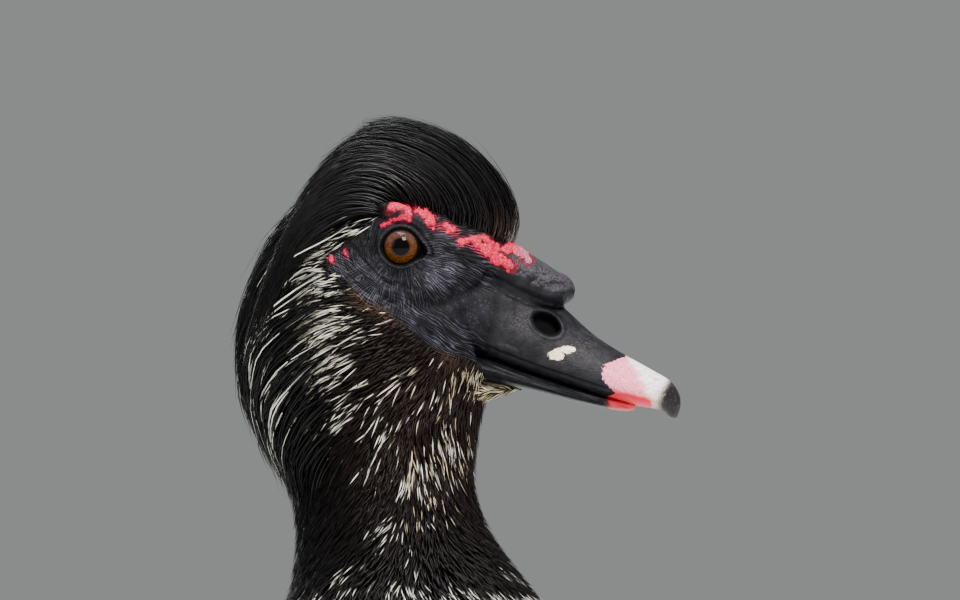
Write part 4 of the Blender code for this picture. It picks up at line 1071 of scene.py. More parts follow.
def face_material():
    """Bare skin, caruncles and bill. The values stored with each point say where each colour lies."""
    s = Shader("face_skin")
    place = s.vector("place")
    fine = s.noise(place, 1.5, 3)
    ragged = s.ragged(place, 0.75, 4, 5.0, 0.65)
    cells = s.cells(place, 0.95)

    broad = s.ramp(s.noise(place, 0.22, 3), 0.35, 0.68)
    face = s.mix(broad, (0.0058, 0.0054, 0.0070), (0.0150, 0.0140, 0.0190))
    clouds = s.ramp(s.noise(place, 0.35, 4), 0.3, 0.75)
    horn = s.mix(clouds, (0.0060, 0.0060, 0.0075), (0.0155, 0.0150, 0.0180))
    colour = s.mix(s.ramp(s.attribute("billness"), 0.0, 1.0), face, horn)
    # Lighter grey speckle on the knob's upward faces: painted highlight.
    knob_top = s.ramp(s.attribute("knob_top"), 0.2, 0.9) * s.ramp(s.noise(place, 2.1, 4, 0.6), 0.30, 0.62)
    colour = s.mix(knob_top * 0.5, colour, (0.070, 0.062, 0.072))
    dust = s.attribute("dust") * s.ramp(s.noise(s.scaled(place, (1, 2, 2)), 1.3, 5, 0.7), 0.5, 0.66)
    colour = s.mix(dust * 0.55, colour, (0.110, 0.088, 0.078))

    pink = s.ramp(s.attribute("pink") + ragged, -0.18, 0.18)
    colour = s.mix(pink, colour, s.mix(s.ramp(fine, 0.3, 0.7), (0.60, 0.12, 0.19), (0.76, 0.27, 0.35)))
    red_rim = s.ramp(s.attribute("red_rim") + ragged * 0.4, -0.4, 0.6)
    colour = s.mix(red_rim * pink, colour, (0.66, 0.02, 0.045))
    white = s.ramp(s.attribute("white") + s.ragged(place, 0.3, 2, 5.0), -1.9, 1.5)
    veins = s.noise(s.scaled(place, (0.5, 1.4, 1.4)), 1.0, 4, 0.7)
    chalk = s.mix(s.ramp(veins, 0.45, 0.64), (0.80, 0.76, 0.76), (0.44, 0.34, 0.38))
    pale = s.mix(s.ramp(s.attribute("low"), 0.0, 1.0), chalk, (0.78, 0.70, 0.50))
    colour = s.mix(white * pink, colour, pale)
    nail = s.ramp(s.attribute("nail") + s.ragged(s.scaled(place, (0.8, 3, 3)), 1.7, 4, 6.5, 0.7), -2.2, 1.5)
    horn_tip = s.mix(s.ramp(s.noise(place, 0.9, 3), 0.55, 0.8), (0.011, 0.0095, 0.010), (0.10, 0.075, 0.07))
    colour = s.mix(nail, colour, horn_tip)
    buff = s.mix(s.ramp(fine, 0.4, 0.6), (0.62, 0.47, 0.27), (0.80, 0.74, 0.62))
    colour = s.mix(s.ramp(s.attribute("flake") + ragged * 0.5, -0.15, 0.2), colour, buff)

    # The caruncles' red is darker low down between the bulbs and at the edges of the grains: painted shade in
    # the crevices.
    grains = s.ramp(cells, 0.0, 0.20)
    coral = s.mix(s.ramp(s.attribute("red"), 0.05, 0.8), (0.22, 0.004, 0.020), (0.56, 0.020, 0.055))
    coral = s.mix(grains, (0.30, 0.006, 0.028), coral)
    coral = s.mix(s.attribute("fading"), coral, (0.36, 0.13, 0.18))
    stain = s.ramp(s.attribute("blush") + (fine - 0.5) * 1.6, 0.25, 0.95)
    colour = s.mix(stain * 0.75, colour, (0.115, 0.006, 0.018))
    red_share = s.ramp(s.attribute("red") + (fine - 0.5) * 0.5, 0.14, 0.28)
    colour = s.mix(red_share, colour, coral)
    colour = s.mix(s.ramp(s.attribute("bare"), -1.2, 0.2), s.tint(), colour)
    # Near-black inside the nostril: painted shade in the pit.
    colour = s.mix(s.ramp(s.attribute("hole"), 0.0, 1.0), colour, (0.002, 0.002, 0.002))
    # Near-black skin inside the lids' edge: painted shade where lid and eyeball meet.
    colour = s.mix(s.ramp(s.attribute("socket"), 0.0, 1.0), colour, (0.003, 0.003, 0.0035))
    lid_rim = s.attribute("lid_rim") * (s.noise(place, 1.6, 2) * 0.9 + 0.35)
    colour = s.mix(lid_rim, colour, (0.042, 0.042, 0.047))

    cracks = (s.ramp(s.cells(place, 0.8), 0.0, 0.55) * 0.32 + 0.3) * s.attribute("plain_share")
    for name in ("crease_pouch", "crease_jaw", "crease_front", "crease_rear"):
        cracks = cracks + s.ridges(s.vector(name)) * s.attribute(name + "_share")
    bare = 1.0 - s.math("MAXIMUM", s.attribute("billness"), red_share)
    height = cracks * bare
    wrinkled = s.relief(height + grains * red_share * 0.45 + s.noise(place, 5.0, 3) * 0.18, 0.24)
    # Painted shade and highlight: crease grooves are darkened and ridge tops lightened, and the skin behind
    # the eye and round the pouch is darkened further.
    darker = s.attribute("crease_rear_share") * 0.62 + s.attribute("crease_pouch_share") * 0.2
    shade = (s.math("POWER", height, 1.8) * 4.0 + 0.10) * (1.0 - darker)
    colour = s.tinted(colour, s.math("MAXIMUM", shade, 1.0 - bare))
    scratches = s.noise(s.scaled(place, (0.5, 2.2, 2.6)), 1.6, 4)
    pits = s.ramp(cells, 0.0, 0.3) * s.attribute("knob_top")
    normal = s.relief((scratches + pits * 1.6) * s.attribute("billness"), 0.10, wrinkled)
    rough = s.noise(place, 0.9, 3) * 0.16 + 0.34 + (1.0 - height) * (bare * 0.22) - red_share * 0.10
    rough = s.math("ADD", rough, s.attribute("hole") * 0.55, clamp=True)
    return s.finish(Base_Color=colour, Roughness=rough, Normal=normal, Specular_IOR_Level=0.09)


def plume_skin_material():
    s = Shader("plumage_skin")
    place = s.vector("place")
    height = s.noise(s.scaled(place, (0.25, 1, 1)), 0.6, 4)
    colour = s.tinted(s.tint(), s.noise(place, 0.35, 3) * 0.6 + 0.6)
    return s.finish(Base_Color=colour, Roughness=0.75, Normal=s.relief(height, 0.5), Specular_IOR_Level=0.1)


def leg_material():
    s = Shader("leg_skin")
    place = s.vector("place")
    mottled = s.ramp(s.noise(place, 0.13, 4, 0.6), 0.45, 0.62)
    colour = s.mix(mottled, (0.035, 0.033, 0.033), (0.16, 0.115, 0.045))
    cells = s.cells(s.scaled(place, (1, 1, 0.8)), 0.62)
    colour = s.mix(s.ramp(cells, 0.10, 0.0), colour, (0.015, 0.014, 0.014))
    colour = s.mix(s.ramp(s.attribute("sole"), 0.0, 1.0), colour, (0.10, 0.08, 0.06))
    height = s.ramp(cells, 0.0, 0.22) + s.noise(place, 2.2, 3) * 0.4
    rough = s.noise(place, 0.8, 2) * 0.2 + 0.38
    return s.finish(Base_Color=colour, Roughness=rough, Normal=s.relief(height, 0.22))


def skin_values(points, normals):
    """What the skin's materials need to know at each point."""
    x, y, z = points.T
    slope = np.abs(normals[:, 1])
    head = (z > HEAD_FLOOR) & (x > -60)
    front = smooth(0, 0.2, slope + smooth(32, 34, x))
    _, turn, lid = eye_polar(x, z)
    beside_eye = head * (np.abs(y) > 8)
    past_edge = {
        name: np.where(head & (x > 50), np.clip(x - np.interp(z, *edge), -9, 9), -9)
        for name, edge in (("pink", PINK_EDGE), ("white", WHITE_EDGE), ("nail", NAIL_EDGE))
    }
    over_rim = np.interp(x, (60, 69, 76), (356.6, 355.2, 353.4)) - z
    flake = np.maximum(1.8 - oval_distance(x, z, 47.9, 366.6, 1.5, 0.9),
                       1.5 - oval_distance(x, z, 51.4, 368.2, 1.7, 0.75))
    dust = np.maximum(bump(oval_distance(x, z, 56, 369.5, 6.0, 4.0), 1.0),
                      0.9 * bump(oval_distance(x, z, 37.5, 377, 5.5, 4.0), 1.0))
    dust = np.maximum(dust, 0.8 * bump(oval_distance(x, z, 51, 366.5, 5, 2.6), 1.0))
    billness = np.maximum(smooth(25.5, 32, x + 0.25 * (378 - z)), smooth(28, 34, x) * smooth(396, 392, z))
    # The knob's upward faces, for its pits and for the painted highlight on them.
    knob_top = smooth(30, 38, x) * smooth(383.5, 388, z) * smooth(-0.2, 0.5, normals[:, 2])
    creases = crease_maps(x, z)
    return {
        "place": points,
        "bare": np.clip(inside(x, z, BARE_FACE), -10, 10),
        "red": np.where(head, caruncle_height(x, z) * front, 0),
        "blush": blush_share(x, z) * head * front,
        "fading": smooth(33.5, 38.5, x) * smooth(1.5, -0.5, wave_noise(x, z, 41, 4) - 0.4) * 0.8,
        "red_rim": np.clip(over_rim, -3, 3) * smooth(79, 76, x) - 3 * smooth(76.5, 78.5, x),
        "low": smooth(357, 352, z),
        "flake": np.where((y < 0) & head, np.clip(flake, -3, 3), -3),
        "dust": dust * head,
        "billness": billness * head,
        "knob_top": knob_top * head,
        # hole and socket mark the nostril's inside and the skin inside the lids' edge, which carry painted
        # shade.
        "hole": smooth(0.98, 0.8, nostril_share(x, z)) * head * (x > 36) * (np.abs(y) < 14),
        "socket": smooth(0.65, 0.35, lid) * beside_eye,
        "lid_rim": bump(lid - 0.97, 0.20) * (0.65 + 0.35 * np.sin(turn * 40)) * beside_eye,
        "plain_share": np.clip(1 - sum(share for _, share in creases.values()), 0, 1),
        "sole": smooth(1.2, 0.3, z) * smooth(-0.5, -0.9, normals[:, 2]),
        **past_edge,
        **{name: coordinates for name, (coordinates, _) in creases.items()},
        **{name + "_share": share * head for name, (_, share) in creases.items()},
    }


def dress_skin(skin):
    points = points_of(skin)
    x, y, z = points.T
    for name, values in skin_values(points, normals_of(skin)).items():
        put_values(skin, name, values)
    white = smooth(0.45, 0.8, white_share(x, y, z)) * smooth(300, 285, z)
    put_tint(skin, mix(dark_tone(x, z), WHITE * 0.45, white[:, None]))
    skin.data.materials.clear()
    for material in (plume_skin_material(), face_material(), leg_material()):
        skin.data.materials.append(material)
    centres = np.empty(len(skin.data.polygons) * 3, np.float32)
    skin.data.polygons.foreach_get("center", centres)
    x, y, z = design(centres.reshape(-1, 3)).T
    face = (inside(x, z, BARE_FACE) > -3.0) & (z > HEAD_FLOOR)
    legs = (z < 88) & (np.hypot(x + 160 - (84 - z) * 0.317, np.abs(y) - 54) < 12) | (z < 24)
    slots = np.where(legs, LEGS, np.where(face, FACE, PLUMAGE)).astype(np.int32)
    skin.data.polygons.foreach_set("material_index", slots)
    skin.data.update()


def lower_bill_material():
    s = Shader("lower_bill_horn")
    place = s.vector("place")
    clouds = s.ramp(s.noise(place, 0.4, 4), 0.3, 0.75)
    colour = s.mix(clouds, (0.0035, 0.0035, 0.0045), (0.0090, 0.0090, 0.0110))
    tip = s.ramp(s.attribute("tip") + s.ragged(place, 0.8, 4, 3.0), -1.5, 1.2)
    colour = s.mix(tip, colour, (0.52, 0.035, 0.05))
    scratches = s.noise(s.scaled(place, (0.4, 2, 3)), 1.6, 4)
    relief = s.relief(scratches, 0.10)
    return s.finish(Base_Color=colour, Roughness=0.36, Normal=relief, Specular_IOR_Level=0.05)


def eyeball(side, name):
    """A glossy eye with pupil, fibred iris and dark rim, its axis a little forward."""
    segments, fine_rings, coarse_rings = 96, 52, 20
    cornea_rise, cornea_radius = 0.45, 5.3
    front, rest = np.linspace(0, 0.95, fine_rings), np.linspace(1.0, math.pi, coarse_rings)
    theta = np.concatenate([front, rest])[1:-1]
    phi = np.arange(segments) * 2 * math.pi / segments
    sin, cos = np.sin(theta)[:, None], np.cos(theta)[:, None] + 0 * phi[None, :]
    ball = np.stack([sin * np.cos(phi), cos, sin * np.sin(phi)], -1).reshape(-1, 3)
    ball = np.concatenate([[[0, 1, 0]], ball, [[0, -1, 0]]])
    away = np.hypot(ball[:, 0], ball[:, 2]) * EYE_BALL_RADIUS
    cornea = cornea_rise * np.clip(1 - (away / cornea_radius) ** 2, 0, 1) * (ball[:, 1] > 0)
    ball *= (EYE_BALL_RADIUS + cornea)[:, None]
    turn = np.arctan2(ball[:, 2], ball[:, 0])
    ball[:, 1] *= side
    points = ball + np.array((0, side * EYE_BALL_SIDE, EYE_HEIGHT))
    made = face_out(new_object("eyeball_" + name, points, ball_faces(len(theta), segments)))
    put_values(made, "away", np.where(ball[:, 1] * side > 0, away, 9))
    put_values(made, "fibre", np.stack([np.cos(turn) * 5, np.sin(turn) * 5, away * 0.35], 1))
    # Height on the eyeball, for the painted reflection on the iris's upper part.
    put_values(made, "up", ball[:, 2] / 5.0)
    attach(made, "root")
    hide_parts("eye_" + name)
    return made


def eye_material():
    s = Shader("eye_amber")
    away = s.attribute("away")
    fibre = s.noise(s.vector("fibre"), 3.2, 5, 0.7)
    streaks = s.ramp(fibre, 0.38, 0.66)
    gold = s.mix(streaks, (0.024, 0.0075, 0.0012), (0.125, 0.042, 0.0050))
    # The rosy upper part of the iris is a painted reflection of the sky.
    rosy = s.mix(streaks, (0.030, 0.014, 0.010), (0.085, 0.042, 0.032))
    colour = s.mix(s.ramp(s.attribute("up"), -0.25, 0.65), gold, rosy)
    colour = s.mix(s.ramp(away, 3.5, 2.6), colour, (0.030, 0.010, 0.005))
    colour = s.mix(s.ramp(away + fibre * 0.35, 4.75, 5.3), colour, (0.020, 0.007, 0.003))
    colour = s.mix(s.ramp(away, 2.62, 2.42), colour, (0.0015, 0.0015, 0.0015))
    colour = s.mix(s.ramp(away, 5.05, 5.3), colour, (0.003, 0.003, 0.0035))
    return s.finish(Base_Color=colour, Roughness=0.4, Coat_Weight=1.0, Coat_Roughness=0.025, Coat_IOR=1.16,
                    Specular_IOR_Level=0.0)


def claw_material():
    s = Shader("claw_horn")
    place = s.scaled(s.node("NewGeometry", {}, "Position"), (1000, 1000, 1000))
    along = s.scaled(place, (0.3, 1, 1))
    colour = s.mix(s.ramp(s.noise(along, 1.1, 3), 0.3, 0.7), (0.018, 0.016, 0.015), (0.075, 0.060, 0.045))
    return s.finish(Base_Color=colour, Roughness=0.32, Normal=s.relief(s.noise(along, 2.5, 3), 0.08))


FLESH = ["head", "neck_upper", "neck_lower", "torso", "bill_upper", "tail"]
FLESH += [f"{name}_{side}" for name in ("wing", "thigh", "shank", "foot") for side in ("left", "right")]


def build_flesh():
    """The skin, the lower bill, the eyes and the look of the claws."""
    skin = build_skin()
    dress_skin(skin)
    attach(skin, "root")
    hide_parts(*FLESH)
    lower = lower_bill()
    points = points_of(lower)
    put_values(lower, "place", points)
    put_values(lower, "tip", np.clip(points[:, 0] - 64.5, -9, 9))
    lower.data.materials.append(lower_bill_material())
    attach(lower, "root")
    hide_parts("bill_lower")
    look = eye_material()
    for side, name in SIDES:
        eyeball(side, name).data.materials.append(look)
    horn = claw_material()
    for name, node in frame["nodes"].items():
        if name.startswith("claw"):
            node.data.materials.clear()
            node.data.materials.append(horn)


build_flesh()

rng = np.random.default_rng(SEED)


def curve(pairs, value):
    """Linear look-up in (value, result) pairs with rising values."""
    table = np.array(pairs, float)
    return np.interp(value, table[:, 0], table[:, 1])


def strip_faces(count, rows, across):
    """Triangles of closed strips: those of the upper side, and those of the underside and the ends."""
    first = (np.arange(count) * rows * across)[:, None, None]
    a = first + (np.arange(rows - 1) * across)[:, None] + np.arange(across - 1)
    upper = np.stack([a, a + 1, a + across + 1, a, a + across + 1, a + across], -1).reshape(-1, 3)
    e = first[:, 0] + np.arange(rows - 1) * across
    last = across - 1
    under = np.stack([e, e + across + last, e + last, e, e + across, e + across + last], -1).reshape(-1, 3)
    k = np.arange(1, across - 1)
    start = first[:, 0] + 0 * k
    root_cap = np.stack([start, start + k + 1, start + k], -1).reshape(-1, 3)
    end = first[:, 0] + (rows - 1) * across + 0 * k
    tip_cap = np.stack([end, end + k, end + k + 1], -1).reshape(-1, 3)
    return upper, np.concatenate([under, root_cap, tip_cap])


class Coat:
    """One mesh of many feathers, each a thin closed strip, with their colours and root places."""

    def __init__(self, name, slot, material):
        self.name, self.slot, self.material = name, slot, material
        self.points, self.faces, self.flat = [], [], []
        self.tints, self.fibres, self.maps = [], [], []
        self.count = 0

    def add(self, spine, top, half, crown, colour, roots, across=3, roll=0.0, slant=0.0, ridge=0.0):
        """Strips along spine (n, rows, 3) with outward directions top, half widths and the middle's height
        (n, rows). colour is (n, rows, 3) or (n, rows, across, 3), and roots the map places (n, 2). roll lifts
        one edge, and slant is the angle of the barbs from the shaft in degrees."""
        n, rows = spine.shape[:2]
        side = unit(np.cross(top, unit(np.gradient(spine, axis=1))))
        t = np.linspace(-1, 1, across)
        rise = crown[..., None] * (1 - np.abs(t) ** 1.7) + ridge * (t == 0) * (half[..., None] > 1)
        rise = rise + np.broadcast_to(roll, (n,))[:, None, None] * t
        out = half[..., None] * t
        points = spine[:, :, None] + side[:, :, None] * out[..., None] + top[:, :, None] * rise[..., None]
        if colour.ndim == 3:
            colour = np.broadcast_to(colour[:, :, None], points.shape)
        steps = np.cumsum(np.linalg.norm(np.diff(spine, axis=1), axis=-1), 1)
        lengths = np.concatenate([np.zeros((n, 1)), steps], 1)[..., None]
        if slant:
            angle = math.radians(slant)
            crossing = lengths * math.sin(angle) - np.abs(out) * math.cos(angle)
        else:
            crossing = out + 0 * lengths
        own = np.broadcast_to((rng.random(n) * 400)[:, None, None], crossing.shape)
        fibre = np.stack([crossing, np.broadcast_to(lengths, crossing.shape), own], -1)
        self.fibres.append(fibre.reshape(-1, 3))
        place_x = roots[:, None, None, 0] + 0.0015 * t + 0 * lengths
        place_y = roots[:, None, None, 1] + 0.003 * (lengths / lengths[:, -1:]) + 0 * t
        self.maps.append(np.stack([place_x, place_y], -1).reshape(-1, 2))
        upper, rest = strip_faces(n, rows, across)
        self.flat.append(np.concatenate([np.zeros(len(upper), bool), np.full(len(rest), across > 3)]))
        self.faces.append(np.concatenate([upper, rest]) + self.count)
        self.points.append(points.reshape(-1, 3))
        self.tints.append(colour.reshape(-1, 3))
        self.count += n * rows * across

    def finish(self):
        """Makes the object and riding the body."""
        faces = np.concatenate(self.faces)
        made = new_object(self.name, np.concatenate(self.points), faces)
        mesh = made.data
        flat = np.concatenate(self.flat)
        if flat.any():
            mesh.attributes.new("sharp_face", "BOOLEAN", "FACE").data.foreach_set("value", flat)
        put_tint(made, np.concatenate(self.tints))
        put_values(made, "fibre", np.concatenate(self.fibres))
        layer = mesh.uv_layers.new(name="OFBake")
        layer.data.foreach_set("uv", np.concatenate(self.maps)[faces.ravel()].astype(np.float32).ravel())
        mesh.materials.append(self.material)
        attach(made, "root")


def map_place(u, angle):
    """A root's place on the unwrap: round the body to the right, from rump to face upwards."""
    return np.stack([np.mod(angle, 2 * math.pi) / (2 * math.pi) * 0.99 + 0.004, u / 20.0 * 0.58 + 0.002], -1)


def scatter(loft, first, last, pitch, keep=None):
    """Even but irregular root places on a loft, about one for each square pitch, as u and angle."""
    rows, columns, crowd = 240, 180, 9
    turns = np.linspace(0, 2 * math.pi, columns + 1)[:-1]
    u, angle = np.meshgrid(np.linspace(first, last, rows), turns, indexing="ij")
    along, around = loft.slopes(u.ravel(), angle.ravel())
    area = np.linalg.norm(np.cross(along, around), axis=-1)
    cell = (last - first) / (rows - 1) * (2 * math.pi / columns)
    total = area.sum() * cell
    picks = rng.choice(u.size, int(total / pitch**2 * crowd), p=area / area.sum())
    u = u.ravel()[picks] + (rng.random(len(picks)) - 0.5) * (last - first) / (rows - 1)
    angle = angle.ravel()[picks] + (rng.random(len(picks)) - 0.5) * 2 * math.pi / columns
    points = loft.point(u, angle)
    if keep is not None:
        wanted = keep(points, u, angle)
        u, angle, points = u[wanted], angle[wanted], points[wanted]
    cells = np.floor(points / (pitch * 1.18)).astype(np.int64)
    _, chosen = np.unique(cells @ np.array((1, 4001, 16008001)), return_index=True)
    chosen = rng.permutation(chosen)
    return u[chosen], angle[chosen]


def shared_draw(points, cell, salt=0.0):
    """A random number from 0 to 1 that all points in one cell share."""
    cells = np.floor(points / np.maximum(cell, 0.1)[:, None]).astype(np.int64)
    return np.modf(np.abs(np.sin(cells @ np.array((12.9898, 78.233, 37.719)) + salt) * 43758.5453))[0]


def walk(loft, place, heading, swing, stride, lowest, highest):
    """The next place (u, angle), one stride away in the heading, turned by swing."""
    u, angle = place
    point, normal = loft.point(u, angle), loft.normal(u, angle)
    along, around = loft.slopes(u, angle)
    way = heading(point, normal, along)
    way = unit(way - normal * dot(way, normal)[:, None])
    way = unit(way + np.cross(normal, way) * swing[:, None])
    aa, ab, bb = dot(along, along), dot(along, around), dot(around, around)
    wa, wb = dot(way, along), dot(way, around)
    even = np.maximum(aa * bb - ab * ab, 1e-6)
    u = np.clip(u + stride * (wa * bb - wb * ab) / even, lowest, highest)
    return u, angle + stride * (wb * aa - wa * ab) / even


def lay(loft, u, angle, length, rows, heading, low, high, wander=0.0, curl=1.0, swing=None):
    """Centre lines on the loft from the roots on, rising from low to high, and the outward directions."""
    spine, tops = [], []
    stride = np.broadcast_to(length, u.shape) / (rows - 1)
    swing = rng.normal(0, 1, len(u)) * wander if swing is None else swing
    for r in range(rows):
        lift = mix(low, high, (r / (rows - 1)) ** curl)
        normal = loft.normal(u, angle)
        spine.append(loft.point(u, angle) + normal * np.broadcast_to(lift, u.shape)[:, None])
        tops.append(normal)
        u, angle = walk(loft, (u, angle), heading, swing, stride, 0.0, loft.last - 1e-3)
    return np.stack(spine, 1), np.stack(tops, 1)


# The way the feathers lie, seen from the side: photo column and row, and degrees, with 180 to the back.
FLOW = np.array((
    (390, 212, 200), (345, 222, 209), (310, 235, 214), (270, 250, 214), (262, 270, 230), (250, 290, 249),
    (320, 265, 188), (330, 285, 195), (300, 290, 210), (350, 290, 185), (330, 310, 192), (300, 310, 208),
    (275, 320, 216), (262, 330, 240), (250, 350, 258), (265, 370, 247), (300, 350, 212), (290, 380, 225),
    (265, 420, 256), (290, 430, 236), (350, 360, 200), (335, 400, 215), (370, 380, 217), (400, 370, 207),
    (420, 390, 220), (450, 390, 243), (460, 400, 228), (380, 420, 237), (350, 430, 225), (390, 450, 246),
    (360, 470, 245), (430, 450, 278), (460, 450, 272), (430, 490, 265), (400, 500, 247), (380, 530, 236),
    (410, 540, 262), (430, 540, 262), (340, 520, 240), (300, 520, 248), (480, 540, 312), (500, 560, 318),
    (460, 580, 285), (350, 580, 235), (400, 590, 250), (430, 590, 270),
), float)
PIXEL = 0.31
FLOW_X, FLOW_Z = (FLOW[:, 0] - 401.5) * PIXEL, 400 - (FLOW[:, 1] - 248.5) * PIXEL
FLOW_WAY = np.stack([np.cos(np.radians(FLOW[:, 2])), np.sin(np.radians(FLOW[:, 2]))], -1)


def neck_flow(point, normal, along):
    """The lie of head and neck feathers: as photographed on the sides, down the neck in front and behind."""
    near = 1 / ((point[:, :1] - FLOW_X) ** 2 + (point[:, 2:] - FLOW_Z) ** 2 + 16) ** 2
    way = (near @ FLOW_WAY) / near.sum(1, keepdims=True)
    side_way = unit(np.stack([way[:, 0], 0 * way[:, 0], way[:, 1]], -1))
    share = smooth(0.12, 0.6, np.abs(normal[:, 1])) * smooth(286, 302, point[:, 2])
    return mix(-unit(along), side_way, share[:, None])


def body_flow(point, normal, along):
    """The lie of body feathers: from neck to tail, a little downwards on the sides."""
    droop = 0.22 * smooth(0.2, 0.9, np.abs(normal[:, 1])) * smooth(-260, -120, point[:, 0])
    return -unit(along) - UP * droop[:, None]


def hair_width(s, base=0.45, tip=0.12):
    """Half-width share of a strand along it: full in the middle, fine at the tip."""
    return mix(base, 1.0, smooth(0, 0.3, s)) * mix(1.0, tip, smooth(0.55, 1.0, s))


def vane_width(s, base=0.35, blunt=0.45):
    """Half-width share of a rounded vane along it."""
    past = np.clip((s - blunt) / (1 - blunt), 0, 1)
    return mix(base, 1.0, smooth(0, 0.38, s)) * np.sqrt(np.maximum(1 - past**2.4, 0.0)) + 0.012


def hair_material(name, rough, specular):
    s = Shader(name)
    streak = s.noise(s.scaled(s.vector("fibre"), (2.4, 0.25, 1)), 1.2, 2)
    colour = s.tinted(s.tint(), streak * 0.7 + 0.62)
    return s.finish(Base_Color=colour, Roughness=rough, Specular_IOR_Level=specular)


# Crest feathers seen from the side, root to tip, from the front arc to the crest's lower edge.
CREST_LINES = np.array((
    ((37.4, 398.4), (37.6, 407.4), (34.0, 417), (27.5, 425.8), (19.4, 432.8), (9.3, 437.6), (-0.9, 439.6),
     (-10.0, 438.0)),
    ((30.6, 399.4), (30.9, 408.6), (26.9, 418), (19.7, 426.2), (10, 432.2), (-1.6, 435.6), (-12, 434.6),
     (-20.4, 429.2)),
    ((20, 403.4), (20.5, 410.6), (16, 419.2), (8, 426.2), (-2.8, 430.5), (-13.3, 430.7), (-22.6, 425.4),
     (-29.6, 416.2)),
    ((12, 408.5), (11, 415), (5.5, 421), (-3, 425.5), (-12.7, 426.3), (-22, 421.9), (-30.2, 412.9),
     (-36.8, 402.6)),
    ((3, 413.5), (-1, 418), (-7, 421), (-15, 421.2), (-23.0, 417.2), (-30.5, 409.7), (-37.2, 399.5),
     (-42.7, 388)),
    ((-4, 412.5), (-9.5, 415), (-16, 415.5), (-23.5, 412.5), (-31, 406), (-38, 396), (-43.5, 384),
     (-47.5, 371)),
    ((-6, 409.8), (-13, 410.5), (-20, 408.5), (-27, 404), (-34, 396.5), (-40, 387), (-45, 375.5),
     (-48.5, 362.5)),
), float)
CREST_HEART = np.array((2.0, 0.0, 408.0))
CREST_LAYERS = (0.80, 0.86, 0.91, 0.95, 0.985)
LAYER_SHARES = (0.12, 0.15, 0.2, 0.23, 0.30)
CLUMPS, RIBS, SPIKES = 90, 150, 26
HAIR_ROWS = 9


def crest_place(d, s, side):
    """A place on the crest's surface: d from the middle line down to the edge, s from root to arc's end."""
    count, places = CREST_LINES.shape[:2]
    lines = spline(CREST_LINES.reshape(count, -1), d * (count - 1)).reshape(-1, places, 2)
    last = places - 1
    f = np.clip(s, 0, 1) * last
    i = np.minimum(f.astype(int), last - 1)
    t = (f - i)[:, None]
    row = np.arange(len(d))
    p, q = lines[row, np.maximum(i - 1, 0)], lines[row, i]
    r, w = lines[row, i + 1], lines[row, np.minimum(i + 2, last)]
    flat = 0.5 * (2 * q + (r - p) * t + (2 * p - 5 * q + 4 * r - w) * t * t + (3 * q - p - 3 * r + w) * t**3)
    wide = np.interp(s, (0, 0.35, 0.7, 1.0), (17.5, 15.5, 17.0, 22.0))
    out = wide * np.sqrt(np.maximum(1 - (1 - d) ** 2, 0)) ** 0.9 * side
    return np.stack([flat[:, 0], out, flat[:, 1]], -1)


def crest(coat, count, side):
    """Long hairlike feathers from the brow back over one half of the crown, in layers."""
    end = HAIR_ROWS - 1
    d = rng.random(count) ** 1.35
    start = np.clip(rng.random(count) ** 1.25 * 0.72 - 0.02, 0, 0.66)
    layer = rng.choice(CREST_LAYERS, count, p=LAYER_SHARES) + rng.random(count) * 0.02
    length = np.minimum(0.42 + 0.22 * rng.random(count), 1.06 - start)
    fan = rng.normal(0, 0.035, count)
    clump = rng.normal(0, 1, CLUMPS)[(d * (CLUMPS - 1)).astype(int)] * 0.012
    rib = rng.normal(0, 1, RIBS)[(d * (RIBS - 1)).astype(int)] * 0.008
    stray = (rng.random(count) < 0.05 + 0.12 * (d < 0.15)) * rng.random(count)
    group = (d * (SPIKES - 1)).astype(int)
    spiky = (rng.random(SPIKES)[group] > 0.55) & (start + length > 0.82) & (d < 0.5)
    stray = np.maximum(stray * 0.6, spiky * (0.30 + 0.22 * rng.random(count)))
    middle = (group + 0.5) / (SPIKES - 1)
    spine, tops = [], []
    for r in range(HAIR_ROWS):
        t = r / end
        s = start + length * r / end
        across = mix(d + (fan + clump) * r / end, middle, spiky * 0.8 * t**2)
        place = crest_place(np.clip(across, 0, 1), s, side)
        out = unit(place - CREST_HEART - np.array((1, 0, 0)) * (place[:, :1] - CREST_HEART[0]) * 0.15)
        factor = mix(layer - 0.10 * (1 - t) ** 2, layer + 0.012, t) + rib * smooth(0, 0.4, t)
        place = CREST_HEART + (place - CREST_HEART) * factor[:, None]
        wave = np.sin(t * 5 + d * 40) * 0.10
        spine.append(place + out * (stray * 4.2 * t**3 + wave)[:, None])
        tops.append(out)
    s = np.linspace(0, 1, HAIR_ROWS)
    half = (0.26 + 0.16 * rng.random(count))[:, None] * hair_width(s)
    tone = BLACK * (0.4 + 1.3 * rng.random(count) ** 1.5)[:, None]
    # Strands darker towards the root: painted shade under the strands above.
    tint = tone[:, None] * (0.5 + 0.5 * smooth(0, 0.4, s))[None, :, None]
    brown = (smooth(0.10, 0.0, start) * smooth(0.30, 0.12, d) * (rng.random(count) < 0.6))[:, None]
    tint = mix(tint, BROWN * 1.2, (brown * smooth(0.35, 0.05, s))[..., None] * 0.9)
    places = map_place(16 + 3 * (1 - start), side * d * 0.9)
    coat.add(np.stack(spine, 1), np.stack(tops, 1), half, half * 0.55, tint, places)


NECK_END = 281.0
# How far the mane stands off by place along the body, and its share by degrees from the middle line.
MANE_DEPTH = (
    (8, 1.0), (9, 1.3), (9.6, 2.2), (10.1, 4.2), (10.5, 6.6), (11, 8.4), (12, 10.0), (13, 9.6), (14, 8.0),
    (15, 6.4), (16, 6.5), (17, 4.0), (18, 2.0),
)
MANE_FALL = ((0, 1.0), (30, 0.82), (60, 0.48), (90, 0.2), (110, 0.08), (180, 0.05))
MANE_GROUP = 2.6


def mane_depth(u, angle):
    off_middle = np.degrees(np.abs(np.mod(angle + math.pi, 2 * math.pi) - math.pi))
    return curve(MANE_DEPTH, u) * curve(MANE_FALL, off_middle)


